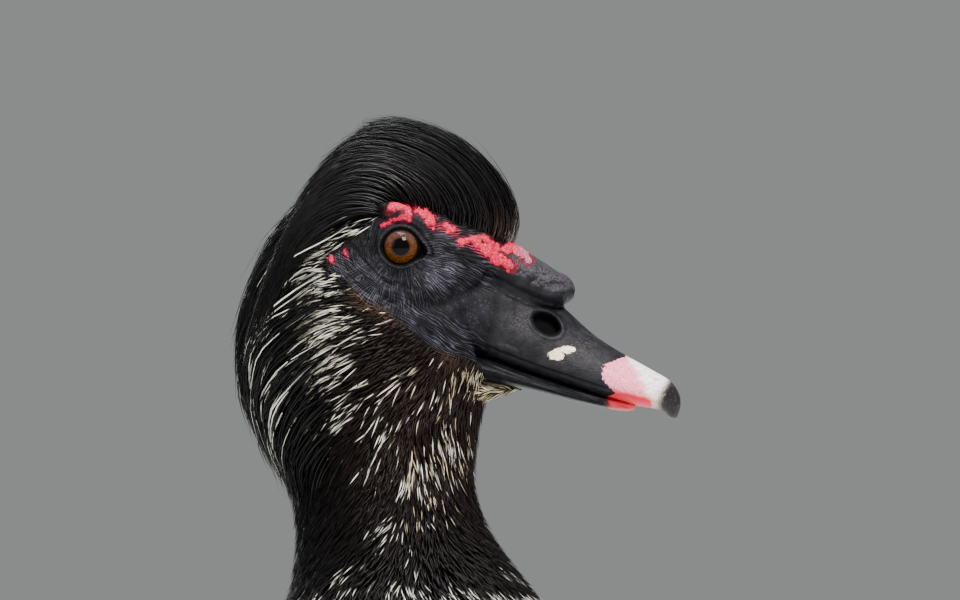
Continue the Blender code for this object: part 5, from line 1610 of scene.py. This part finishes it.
def mane(coat, count):
    """Loose long feathers down the nape, thickest in the middle and ending in a step."""
    u = 10.8 + 6.6 * rng.random(count)
    angle = np.radians(np.clip(rng.normal(0, 33, count), -70, 70))
    start = BODY.point(u, angle)
    clear = inside(start[:, 0], start[:, 2], BARE_FACE) < -3
    clear &= np.degrees(np.abs(angle)) < mix(70, 40, smooth(14, 17, u))
    u, angle, start = u[clear], angle[clear], start[clear]
    count = len(u)
    off_middle = np.degrees(np.abs(angle))
    layer = 0.35 + 0.65 * rng.random(count) ** 0.7
    group = np.full(count, MANE_GROUP)
    length = 20 + 12 * rng.random(count) + 6 * shared_draw(start, group, 3.0)
    length = length * mix(0.55, 1.0, smooth(10.6, 12.5, u))
    stray = (rng.random(count) < 0.12) * rng.random(count)
    bunch = shared_draw(start, group, 7.0) - 0.35
    lean = rng.normal(0, 0.06, count) + 0.2 * (shared_draw(start, group, 8.0) - 0.5)
    place, spine, tops = (u, angle), [], []
    for r in range(HAIR_ROWS):
        t = r / (HAIR_ROWS - 1)
        depth = mane_depth(*place)
        lift = depth * layer * mix(0.45, 1.0, smooth(0, 0.6, t)) - 0.8 + (3.0 * stray + 1.1 * bunch) * t**2
        normal = BODY.normal(*place)
        spine.append(BODY.point(*place) + normal * lift[:, None])
        tops.append(normal)
        place = walk(BODY, place, neck_flow, lean, length / (HAIR_ROWS - 1), 8.6, BODY.last)
    spine, tops = np.stack(spine, 1), np.stack(tops, 1)
    s = np.linspace(0, 1, HAIR_ROWS)
    x, y, z = spine[:, HAIR_ROWS // 2].T
    draw = mix(shared_draw(start, 0.6 * group), rng.random(count), 0.55)
    sides = bump((x + 41) / 7, 1) * bump((z - 352) / 26, 1)
    share = white_share(x, y, z)
    white = draw < 0.14 + 0.40 * np.maximum(share, 0.6 * sides)
    white &= smooth(14, 34, off_middle) * smooth(0.05, 0.3, np.maximum(share, sides)) > rng.random(count)
    dark = BLACK * (0.4 + 1.3 * rng.random(count) ** 1.5)[:, None]
    tone = np.where(white[:, None], WHITE * 0.8, dark)
    # Strands darker towards the root: painted shade under the strands above.
    tint = tone[:, None] * (0.45 + 0.55 * smooth(0, 0.45, s))[None, :, None]
    half = ((0.30 + 0.22 * rng.random(count)) * np.where(white, 0.62, 1.0))[:, None] * hair_width(s)
    coat.add(spine, tops, half, half * 0.55, tint, map_place(u, angle))


def small_feathers(coat, u, angle, length, half, rows, low, high, clump, white_gain=1.0, dark_run=0.46):
    """Short narrow head and neck feathers. clump is the size in mm of groups that share a colour."""
    count = len(u)
    start = BODY.point(u, angle)
    swing = 0.5 * (shared_draw(start, clump, 5.0) - 0.5) + 0.09 * rng.normal(0, 1, count)
    high = high + 0.7 * (shared_draw(start, clump, 9.0) - 0.4)
    spine, tops = lay(BODY, u, angle, length, rows, neck_flow, low, high, curl=0.8, swing=swing)
    x, y, z = spine[:, rows // 2].T
    share = white_share(x, y, z) * white_gain
    draw = mix(shared_draw(start, clump), rng.random(count), 0.55)
    tone = dark_tone(x, z) * (0.55 + 0.95 * rng.random(count))[:, None]
    pale = mix(WHITE, CREAM, (rng.random(count) * smooth(330, 370, z) * 0.8)[:, None])
    chin = smooth(13, 17, x) * smooth(352, 356, z)
    chance = rng.random(count)
    tan = chance < np.maximum(chin, 0.4 * smooth(308, 318, z) * smooth(-5, 5, x))
    pale = np.where(tan[:, None], mix(TAN, CREAM, rng.random(count)[:, None]), pale)
    pale = pale * (0.45 + 0.55 * rng.random(count))[:, None]
    share = np.maximum(share, 0.6 * (chance < chin) * smooth(364, 360, z))
    white = draw < share
    s = np.linspace(0, 1, rows)
    pale_run = smooth(dark_run, dark_run + 0.25, s) * mix(1.0, 0.75, smooth(0.85, 1.0, s))
    # Dark feathers darker towards the root in painted shade; white ones run from dark root to pale tip.
    tint = np.where(white[:, None, None], mix(tone[:, None], pale[:, None], pale_run[None, :, None]),
                    tone[:, None] * (0.45 + 0.55 * smooth(0, 0.5, s))[None, :, None])
    wide = (half * np.where(white, 0.85, 1.1))[:, None] * hair_width(s)
    coat.add(spine, tops, wide, wide * 0.5, tint, map_place(u, angle))


def in_halves(name, material, u, angle, length, half, rows, low, high, clump, **looks):
    """Small feathers in two pieces, the first half of the roots and the second."""
    part = np.arange(len(u)) < len(u) // 2
    for letter, mine in (("a", part), ("b", ~part)):
        coat = Coat(f"{name}_{letter}", "plumage_black", material)
        small_feathers(coat, u[mine], angle[mine], length[mine], half[mine], rows, low[mine], high[mine],
                       clump[mine], **looks)
        coat.finish()


def on_cheek(points, u, _):
    """Whether a place of the head is feathered and not under the crest."""
    x, _, z = points.T
    ahead = (x > 27) & (z > 352)
    foot = np.interp(x, (-6, -4, 4, 12, 20, 35), (409, 412, 412, 407, 403.5, 401))
    crest_zone = (z > foot) & (x > -6)
    return (inside(x, z, BARE_FACE) < 0.5) & ~ahead & ~crest_zone & ~((z > 400) & (x > -6)) & (u > 10.8)


def cheek_coats(material):
    u, angle = scatter(BODY, 10.8, 19.5, 1.10, on_cheek)
    x, _, z = BODY.point(u, angle).T
    bare = -inside(x, z, BARE_FACE)
    length = mix(3.8, 7.4, smooth(0.5, 14, bare)) * (0.8 + 0.45 * rng.random(len(u)))
    length *= mix(1, 1.35, smooth(392, 402, z))
    half = mix(0.19, 0.27, smooth(1, 12, bare)) * (0.75 + 0.5 * rng.random(len(u)))
    high = 0.15 + 0.5 * rng.random(len(u))
    low = -0.1 - 1.4 * smooth(0.8, 4.0, bare)
    in_halves("cheek_feathers", material, u, angle, length, half, 5, low, high, np.full(len(u), 1.15),
              white_gain=1.75, dark_run=0.10)


def neck_coats(material):
    def keep(points, u, _):
        return points[:, 2] + rng.normal(0, 1.5, len(u)) > NECK_END

    u, angle = scatter(BODY, 4.6, 10.9, 1.28, keep)
    z = BODY.point(u, angle)[:, 2]
    low_neck, foot = smooth(335, 292, z), smooth(298, 283, z)
    length = (mix(5.4, 7.8, low_neck) + 2.5 * foot) * (0.75 + 0.5 * rng.random(len(u)))
    half = (mix(0.20, 0.32, low_neck) + 0.45 * foot) * (0.75 + 0.5 * rng.random(len(u)))
    high = 0.1 + 0.8 * rng.random(len(u))
    low = np.full(len(u), -1.6)
    in_halves("neck_feathers", material, u, angle, length, half, 6, low, high, mix(1.4, 3.0, low_neck))


def chin_coat(material):
    rows = 5
    wander = 0.15
    u, angle = scatter(CHIN, 0.3, 2.95, 1.2, lambda p, u, angle: (p[:, 2] < 362.5) & (p[:, 0] > 12))
    count = len(u)
    length = 3.0 + 2.0 * rng.random(count)
    high = 0.1 + 0.4 * rng.random(count)
    spine, tops = lay(CHIN, u, angle, length, rows, lambda p, normal, along: -unit(along), -0.9, high, wander)
    half = (0.24 + 0.14 * rng.random(count))[:, None] * hair_width(np.linspace(0, 1, rows))
    pale = mix(TAN, CREAM, rng.random(count)[:, None]) * (0.5 + 0.6 * rng.random(count))[:, None]
    light = rng.random(count) < 0.85 * smooth(14, 20, spine[:, 0, 0])
    tone = np.where(light[:, None], pale, BROWN_BLACK)
    places = np.stack([0.52 + np.mod(angle, 2 * math.pi) / 14, 0.60 + u / 300], -1)
    coat = Coat("chin_feathers", "plumage_black", material)
    coat.add(spine, tops, half, half * 0.5, np.broadcast_to(tone[:, None], (count, rows, 3)), places)
    coat.finish()


def head_coats():
    """Crest, mane and the small feathers of head and neck."""
    hair = hair_material("plumage_hair", 0.27, 0.17)
    coat = Coat("crest_feathers", "plumage_black", hair)
    for side, _ in SIDES:
        crest(coat, 1850, side)
    coat.finish()
    coat = Coat("mane_feathers", "plumage_black", hair)
    mane(coat, 3200)
    coat.finish()
    small = hair_material("plumage_small", 0.40, 0.11)
    cheek_coats(small)
    neck_coats(small)
    chin_coat(small)


def vane_material(name, rough, specular, gloss=(1.0, 1.0, 1.0)):
    s = Shader(name)
    barbs = s.noise(s.scaled(s.vector("fibre"), (2.6, 0.10, 1)), 1.0, 3)
    colour = s.tinted(s.tint(), barbs * 0.6 + 0.68)
    return s.finish(Base_Color=colour, Roughness=rough, Specular_IOR_Level=specular, Specular_Tint=gloss,
                    Normal=s.relief(barbs, 0.22))


def vane_tints(tone, white, rows, across):
    """Colours of rounded body feathers: darker at the root in painted shade, dark ones with a faint paler rim
    of painted highlight, white ones with a slightly darker rim of painted shade.
    """
    s = np.linspace(0, 1, rows)[None, :, None, None]
    t = np.abs(np.linspace(-1, 1, across))[None, None, :, None]
    rim = smooth(0.7, 1.0, t) * 0.18 + smooth(0.88, 1.0, s) * 0.22
    # Painted shade at the roots; painted highlight on dark rims and painted shade on white rims.
    dark = tone[:, None, None] * (0.55 + 0.45 * smooth(0.05, 0.6, s)) * (1 + rim)
    pale = tone[:, None, None] * (0.78 + 0.22 * smooth(0.1, 0.6, s)) * (1 - 0.12 * rim)
    return np.where(white[:, None, None, None], pale, dark)


def vane_tones(x, y, z, cell, own_share):
    """White or dark for each feather, in small groups."""
    field = wave_noise(x + 0.6 * y, z + 0.5 * y, 61, cell)
    field = field + 0.6 * wave_noise(x - 0.4 * y, z - 0.7 * y, 62, 0.45 * cell)
    shared = (np.argsort(np.argsort(field)) + 0.5) / len(x)
    white = mix(shared, rng.random(len(x)), own_share) < white_share(x, y, z)
    tone = dark_tone(x, z) * (0.7 + 0.6 * rng.random(len(x)))[:, None]
    pale = mix(WHITE, CREAM, (0.5 * rng.random(len(x)))[:, None])
    pale = pale * (0.85 + 0.15 * rng.random(len(x)))[:, None]
    return np.where(white[:, None], pale, tone), white


def contour(coat, loft, u, angle, length, half, low, high, flow, places, across, cell, crown, own_share):
    """Rounded, cupped body feathers over one another like shingles."""
    rows = 6
    spine, tops = lay(loft, u, angle, length, rows, flow, low, high, wander=0.07, curl=0.75)
    x, y, z = spine[:, -2].T
    tone, white = vane_tones(x, y, z, cell, own_share)
    s = np.linspace(0, 1, rows)
    wide = half[:, None] * vane_width(s) * (1 + 0.09 * rng.normal(0, 1, (len(u), rows)) * (s > 0.5))
    coat.add(spine, tops, wide, wide * crown, vane_tints(tone, white, rows, across), places(u, angle), across,
             roll=rng.normal(0, 0.12, len(u)), slant=38)


def wing_edges(x):
    """The folded wing's upper and lower edge at x, in degrees from the top."""
    return (np.interp(x, WING_RISING[:, 0], WING_RISING[:, k]) for k in (1, 2))


def under_wing(points):
    """Whether a body place is well covered by the folded wing."""
    x, y, z = points.T
    margin = 10.0
    row = spline(WING.keys, WING.at_x(x))
    middle = row[:, 3] + (row[:, 1] - row[:, 3]) * row[:, 5]
    rise = np.where(z > middle, (z - middle) / (row[:, 1] - middle), (z - middle) / (middle - row[:, 3]))
    around = np.degrees(np.arctan2(np.abs(y) / row[:, 4], rise))
    top, bottom = wing_edges(x)
    in_reach = (x > WING_SPANS[-1, 0] + 6) & (x < WING_SPANS[0, 0] - 8)
    return in_reach & (around > top + margin) & (around < bottom - margin)


# Body coats: name, first and last place along the body, pitch, shortest and longest feather, half width as a
# share of it, height of the roots and count of pieces.
BODY_COATS = (
    ("breast_feathers", 6.0, 8.6, 2.3, (9.5, 13), 0.104, -2.2, 1),
    ("chest_feathers", 4.2, 6.1, 3.0, (14, 18), 0.108, -2.6, 1),
    ("flank_feathers", 0.04, 4.4, 4.0, (20, 26), 0.104, -3.0, 2),
)


def clear_of_wing(points, *_):
    return ~under_wing(points) & (points[:, 2] < NECK_END + 7)


def body_coats():
    soft = vane_material("plumage_body", 0.40, 0.09, (0.95, 0.97, 1.0))
    for name, first, last, pitch, lengths, broad, low, pieces in BODY_COATS:
        u, angle = scatter(BODY, first, last, pitch, clear_of_wing)
        length = mix(lengths[1], lengths[0], (u - first) / (last - first)) * (0.85 + 0.3 * rng.random(len(u)))
        half = length * broad * (0.9 + 0.2 * rng.random(len(u)))
        high = 0.1 + 0.35 * rng.random(len(u))
        for k in range(pieces):
            mine = np.arange(len(u)) % pieces == k
            coat = Coat(f"{name}_{k + 1}" if pieces > 1 else name, "plumage_black", soft)
            contour(coat, BODY, u[mine], angle[mine], length[mine], half[mine], low, high[mine], body_flow,
                    map_place, across=3, cell=11.0, crown=0.28, own_share=0.35)
            coat.finish()


def wing_places(x, angle, side):
    """Map places of wing feathers, apart from the body's."""
    across = 0.06 + (angle / math.pi) * 0.36 + (0.5 if side > 0 else 0)
    return np.stack([across, 0.62 + (x + 420) / 480 * 0.30], -1)


def wing_row(coat, side, roots, tips, half, lifts, roll, tone, rows, across, blunt, base, jitter=0.5):
    """A row of flight feathers or coverts along the folded wing, one for each tone, between the first and the
    last feather's (x, angle) of roots and of tips."""
    count = len(tone)
    k = np.linspace(0, 1, count)
    s = np.linspace(0, 1, rows)
    root, tip = (mix(*np.array(ends, float), k[:, None]) for ends in (roots, tips))
    root[:, 0] += rng.normal(0, jitter, count) * 1.5
    tip[:, 0] += rng.normal(0, jitter, count) * 2.2
    tip[:, 1] += rng.normal(0, jitter, count) * 0.5
    x = mix(root[:, :1], tip[:, :1], s)
    angle = np.radians(mix(root[:, 1:], tip[:, 1:], s))
    u = WING.at_x(x.ravel()).reshape(x.shape)
    lift = np.interp(s, (0, 0.34, 1.0), lifts)[None, :] + rng.normal(0, 0.25, count)[:, None]
    tops = WING.normal(u, angle)
    spine, inner = over_back(WING.point(u, angle))
    spine = (spine + tops * (lift * mix(1.0, 0.6, inner))[..., None]) * mirrored(side)
    wide = half * (0.94 + 0.12 * rng.random(count))[:, None] * vane_width(s, base, blunt)
    # Painted shade darkens each feather's root; dark feathers' edges are lighter in painted highlight and
    # white ones' edges darker in painted shade. The darker shaft line on white feathers is their own colour.
    shade = tone[:, None, None] * (0.7 + 0.3 * smooth(0.0, 0.4, s))[None, :, None, None]
    t = np.linspace(-1, 1, across)[None, None, :, None]
    pale = float(tone.mean() > 0.2)
    shade = shade * (1 + (0.3 - 0.5 * pale) * smooth(0.7, 1, np.abs(t)))
    shade = shade * mix(1.0, 0.55, bump(t, 0.12) * pale)
    places = wing_places(root[:, 0], np.radians(root[:, 1]), side)
    shade = np.broadcast_to(shade, (count, rows, across, 3))
    coat.add(spine, tops * mirrored(side), wide, wide * 0.10, shade, places, across, roll=roll * side,
             slant=32, ridge=0.35)


# Rows of dark wing feathers: count, roots and tips as (x, degrees) of the first and the last feather, half
# width, height at the root, at a third and at the tip, how far one edge is lifted, brightness, rows of
# points, where the tip begins to round and the width at the root.
QUILLS = (
    (7, ((-212, 83), (-272, 70)), ((-318, 83), (-396, 68)), 8.6, (-3, 2.4, 1.0), 0.9, 1.0, 15, 0.35, 0.7),
    (11, ((-20, 97), (-196, 82)), ((-112, 118), (-310, 91)), 12.5, (-3.2, 2.4, 1.2), 1.0, 1.0, 15, 0.6, 0.7),
    (13, ((26, 74), (-160, 63)), ((-64, 103), (-246, 83)), 12, (-2.6, 4.6, 3.6), 1.0, 1.0, 15, 0.5, 0.6),
    (7, ((-118, 54), (-172, 30)), ((-250, 70), (-312, 42)), 16.0, (-2.6, 6.0, 4.8), 1.0, 1.1, 15, 0.4, 0.6),
)
SHOULDER_ROWS = (
    (17, ((50, 42), (-92, 32)), ((22, 56), (-138, 46)), 9.0, (0.5, 7.6, 7.4), 0.8, 1.1, 9, 0.55, 0.5),
    (15, ((50, 36), (-84, 26)), ((22, 48), (-128, 38)), 9.0, (0.5, 8.0, 7.8), 0.8, 1.1, 9, 0.55, 0.5),
    (12, ((40, 28), (-60, 21)), ((10, 38), (-106, 29)), 9.5, (-1.0, 8.0, 7.8), 0.8, 1.1, 9, 0.55, 0.5),
    (10, ((16, 24), (-70, 20)), ((-40, 34), (-150, 28)), 13, (-3.0, 7.6, 7.0), 1.0, 1.0, 11, 0.6, 0.5),
    (8, ((0, 20), (-92, 17)), ((-76, 42), (-188, 30)), 15, (-3.4, 7.2, 6.6), 1.0, 1.0, 12, 0.6, 0.5),
)
COVERT_ROWS = 4


def dark_rows(name, material, side, table, across):
    """A piece of the wing from rows of dark feathers."""
    coat = Coat(name, "plumage_gloss", material)
    for count, roots, tips, half, lifts, roll, bright, rows, blunt, base in table:
        tone = BLACK * np.array((0.9, 1.15, 1.0)) * bright * (0.8 + 0.4 * rng.random(count))[:, None]
        wing_row(coat, side, roots, tips, half, lifts, roll, tone, rows, across, blunt, base)
    coat.finish()


def white_coverts(name, material, side):
    """The white patch of the forewing."""
    coat = Coat(name, "plumage_gloss", material)
    for k in range(COVERT_ROWS):
        share = k / (COVERT_ROWS - 1)
        roots = ((mix(10, 40, share), mix(62, 45, share)), (mix(-142, -118, share), mix(52, 38, share)))
        tips = ((mix(-34, -4, share), mix(84, 62, share)), (mix(-196, -162, share), mix(68, 51, share)))
        lifts = (-1.5, mix(5.2, 7.8, share), mix(4.6, 7.6, share))
        tone = WHITE * (0.46 + 0.3 * rng.random(13 + k))[:, None]
        wing_row(coat, side, roots, tips, mix(11.5, 10.2, share), lifts, 1.0, tone, rows=10, across=7,
                 blunt=0.62, base=0.6, jitter=1.0)
    coat.finish()


def wing_coats():
    gloss = vane_material("plumage_gloss", 0.28, 0.11, (0.55, 1.0, 0.78))
    pale = vane_material("plumage_white", 0.6, 0.2)
    soft = vane_material("plumage_shoulder", 0.32, 0.10, (0.68, 1.0, 0.90))
    for side, name in SIDES:
        dark_rows("flight_feathers_" + name, gloss, side, QUILLS, 9)
        white_coverts("wing_coverts_" + name, pale, side)
        dark_rows("shoulder_feathers_" + name, soft, side, SHOULDER_ROWS, 7)


def on_wrist(points, _, angle):
    """Whether a place of the wing's guide lies on its front part."""
    x, turn = points[:, 0], np.degrees(angle)
    top, bottom = wing_edges(x)
    return (x > -96) & (x < 54) & (turn > np.maximum(top - 2, 40 * smooth(25, -15, x))) & (turn < bottom + 3)


def wrist_coats():
    """Small coverts over the front of each folded wing."""
    soft = vane_material("plumage_wrist", 0.36, 0.09, (0.80, 1.0, 0.92))
    rows, across = 7, 5
    rearwards = np.array((-1, 0, -0.12))
    for side, name in SIDES:
        u, angle = scatter(WING, 0.0, 3.2, 7.6, on_wrist)
        count = len(u)
        length = 21 + 6 * rng.random(count)
        high = -2.2 + 1.2 * rng.random(count)
        spine, tops = lay(WING, u, angle, length, rows, lambda point, normal, along: rearwards + 0 * point,
                          -6.5, high, wander=0.08, curl=0.7)
        wide = (7.4 + 1.4 * rng.random(count))[:, None] * vane_width(np.linspace(0, 1, rows))
        tone = BLACK * np.array((0.95, 1.1, 1.0)) * (0.8 + 0.5 * rng.random(count))[:, None]
        tints = vane_tints(tone, np.zeros(count, bool), rows, across)
        places = wing_places(spine[:, 0, 0], angle, side)
        spine, tops = spine * mirrored(side), tops * mirrored(side)
        coat = Coat("wrist_feathers_" + name, "plumage_gloss", soft)
        coat.add(spine, tops, wide, wide * 0.05, tints, places, across, slant=38)
        coat.finish()


def tail_fan(coat, turn, length, half, x, y, z, rise, bend, tone, blunt, out=1.0):
    """Tail feathers spread by turn from their roots x, y, z. out is -1 for those that face down."""
    rows, across = 16, 9
    count = len(turn)
    s = np.linspace(0, 1, rows)
    x, z = np.full(count, float(x)), np.broadcast_to(z, (count,))
    way = np.stack([-np.cos(turn), np.sin(turn), 0 * turn], -1)
    spine = np.stack([x, y, z], -1)[:, None] + way[:, None] * (length[:, None] * s)[..., None]
    spine[..., 2] += rise * length[:, None] * s + bend * s**2
    tops = np.zeros(spine.shape)
    tops[..., 2] = out
    wide = half * np.ones((count, 1)) * vane_width(s, 0.5, blunt)
    shade = tone[:, None, None] * (0.65 + 0.35 * smooth(0, 0.4, s))[None, :, None, None]
    roots = np.stack([0.30 + y / 60 * 0.1, 0.945 + (x + 360) / 60 * 0.02], -1)
    coat.add(spine, tops, wide, wide * 0.12, np.broadcast_to(shade, (count, rows, across, 3)), roots, across,
             roll=np.sign(turn) * -0.7 * out, slant=32, ridge=0.4)


# Coverts over and under the tail's root: root x, root z above, shortest and longest length, count.
TAIL_COVERTS = ((-356, 211.5, 62, 80, 9), (-340, 214.5, 50, 64, 11), (-322, 219.5, 44, 56, 13))
TAIL_PAIRS = 9


def tail_coats():
    gloss = vane_material("plumage_tail", 0.30, 0.11, (0.6, 1.0, 0.82))
    coat = Coat("tail_feathers", "plumage_gloss", gloss)
    share = np.arange(TAIL_PAIRS) / (TAIL_PAIRS - 1)
    for side, _ in SIDES:
        turn = np.radians(mix(1.4, 20.5, share)) * side
        length = mix(153, 125, share**1.3) + rng.normal(0, 1.2, TAIL_PAIRS)
        tone = BLACK * (0.8 + 0.4 * rng.random(TAIL_PAIRS))[:, None]
        z = mix(209.2, 203.4, share)
        tail_fan(coat, turn, length, 13.0, -350, np.sin(turn) * 26, z, 0.018, 5.0, tone, 0.6)
    for layer, (x, z, shortest, longest, count) in enumerate(TAIL_COVERTS):
        turn = np.radians(np.linspace(-15, 15, count) + rng.normal(0, 1, count))
        sweep = np.sin(turn)
        fall = np.abs(sweep * 3.2) ** 2
        length = shortest + (longest - shortest) * rng.random(count)
        tone = BLACK * (0.8 + 0.5 * rng.random(count))[:, None]
        tail_fan(coat, turn, length, 10.5, x, sweep * 92, z - 11 * fall, 0.0, -4.0, tone, 0.35)
        length = shortest + (longest - shortest) * rng.random(count)
        tone = mix(BLACK, WHITE, (rng.random(count) < 0.35)[:, None] * 0.9)
        under = 196.5 - 3.0 * layer + 9 * fall
        tail_fan(coat, turn, length, 10.5, x, sweep * 88, under, 0.02, 5.0, tone, 0.35, out=-1.0)
    coat.finish()


class Leg(Surface):
    """The feathered thigh as a tube that the feathers are laid on."""

    last = len(THIGH_PATH) - 1

    def __init__(self, side):
        self.keys = np.column_stack([np.array(THIGH_PATH) * mirrored(side), THIGH_RADII])

    def normal(self, u, angle):
        before, after = (spline(self.keys, np.clip(u + step, 0, self.last)) for step in (-0.05, 0.05))
        run = unit(unit(after - before)[..., :3])
        aside = unit(np.cross(run, np.array((0.0, 1.0, 0.0))))
        return aside * np.cos(angle)[..., None] + np.cross(run, aside) * np.sin(angle)[..., None]

    def point(self, u, angle):
        row = spline(self.keys, u)
        return row[..., :3] + self.normal(u, angle) * row[..., 3:4]


def down_leg(point, normal, along):
    """The lie of the thigh feathers: down the leg and a little to the rear."""
    return unit(along) + np.array((-0.15, 0, 0))


def thigh_coats():
    soft = vane_material("plumage_thigh", 0.45, 0.08)
    first, last, pitch = 0.9, 3.82, 4.4
    for side, name in SIDES:
        loft = Leg(side)
        u, angle = scatter(loft, first, last, pitch)
        length = mix(15, 8.0, smooth(1.5, 3.8, u)) * (0.85 + 0.3 * rng.random(len(u)))
        length = np.minimum(length, 3 + (4.12 - u) * 20)

        def places(u, angle):
            across = 0.05 + np.mod(angle, 2 * math.pi) / 13 * 0.4 + (0.5 if side > 0 else 0)
            return np.stack([across, 0.97 + u * 0.005], -1)

        high = 0.5 + 0.5 * rng.random(len(u))
        coat = Coat("thigh_feathers_" + name, "plumage_black", soft)
        contour(coat, loft, u, angle, length, length * 0.32, -1.6, high, down_leg, places,
                across=5, cell=9.0, crown=0.035, own_share=0.7)
        coat.finish()


head_coats()
body_coats()
wing_coats()
wrist_coats()
tail_coats()
thigh_coats()


# Area lamps: name, place, size, watts and tint.
LAMPS = (
    ("key", (1.0, -1.85, 2.45), 0.9, 200, (1.0, 0.98, 0.95)),
    ("fill", (-1.9, -1.7, 1.2), 1.6, 15, (0.95, 0.98, 1.0)),
    ("top", (0.25, -0.2, 2.7), 1.1, 120, (0.97, 0.99, 1.0)),
    ("back", (-0.8, 2.2, 1.6), 1.4, 45, (1.0, 1.0, 1.0)),
)
LAMP_AIM = (0.1, 0, 0.3)
VIEW_MIDDLE = (24.4, 0, 383.6)
VIEW_DISTANCE = 3.0


def camera():
    lens = bpy.data.cameras.new("camera")
    lens.lens = 363.0
    lens.clip_start, lens.clip_end = 0.1, 60
    eye = link(bpy.data.objects.new("camera", lens))
    focus = world(VIEW_MIDDLE)
    eye.location = (focus[0], -VIEW_DISTANCE, focus[2])
    eye.rotation_euler = (math.radians(90), 0, 0)
    bpy.context.scene.camera = eye


def ground():
    shape = bmesh.new()
    bmesh.ops.create_grid(shape, x_segments=2, y_segments=2, size=5.0)
    sheet = bpy.data.meshes.new("floor")
    shape.to_mesh(sheet)
    shape.free()
    sheet.materials.append(Shader("floor_paper").finish(Base_Color=(0.72, 0.73, 0.72), Roughness=0.9))
    floor = link(bpy.data.objects.new("floor", sheet))


def lights():
    sky = bpy.data.worlds.new("studio")
    sky.use_nodes = True
    background = sky.node_tree.nodes["Background"]
    background.inputs["Color"].default_value = (0.80, 0.84, 0.82, 1)
    background.inputs["Strength"].default_value = 0.33
    bpy.context.scene.world = sky
    for name, place, size, watts, tint in LAMPS:
        lamp = bpy.data.lights.new(name, "AREA")
        lamp.size = size
        lamp.energy = watts
        lamp.color = tint
        light = link(bpy.data.objects.new(name, lamp))
        light.location = place
        light.visible_camera = False
        light.rotation_euler = (Vector(LAMP_AIM) - Vector(place)).to_track_quat("-Z", "Y").to_euler()


camera()
ground()
lights()

bpy.context.view_layer.update()
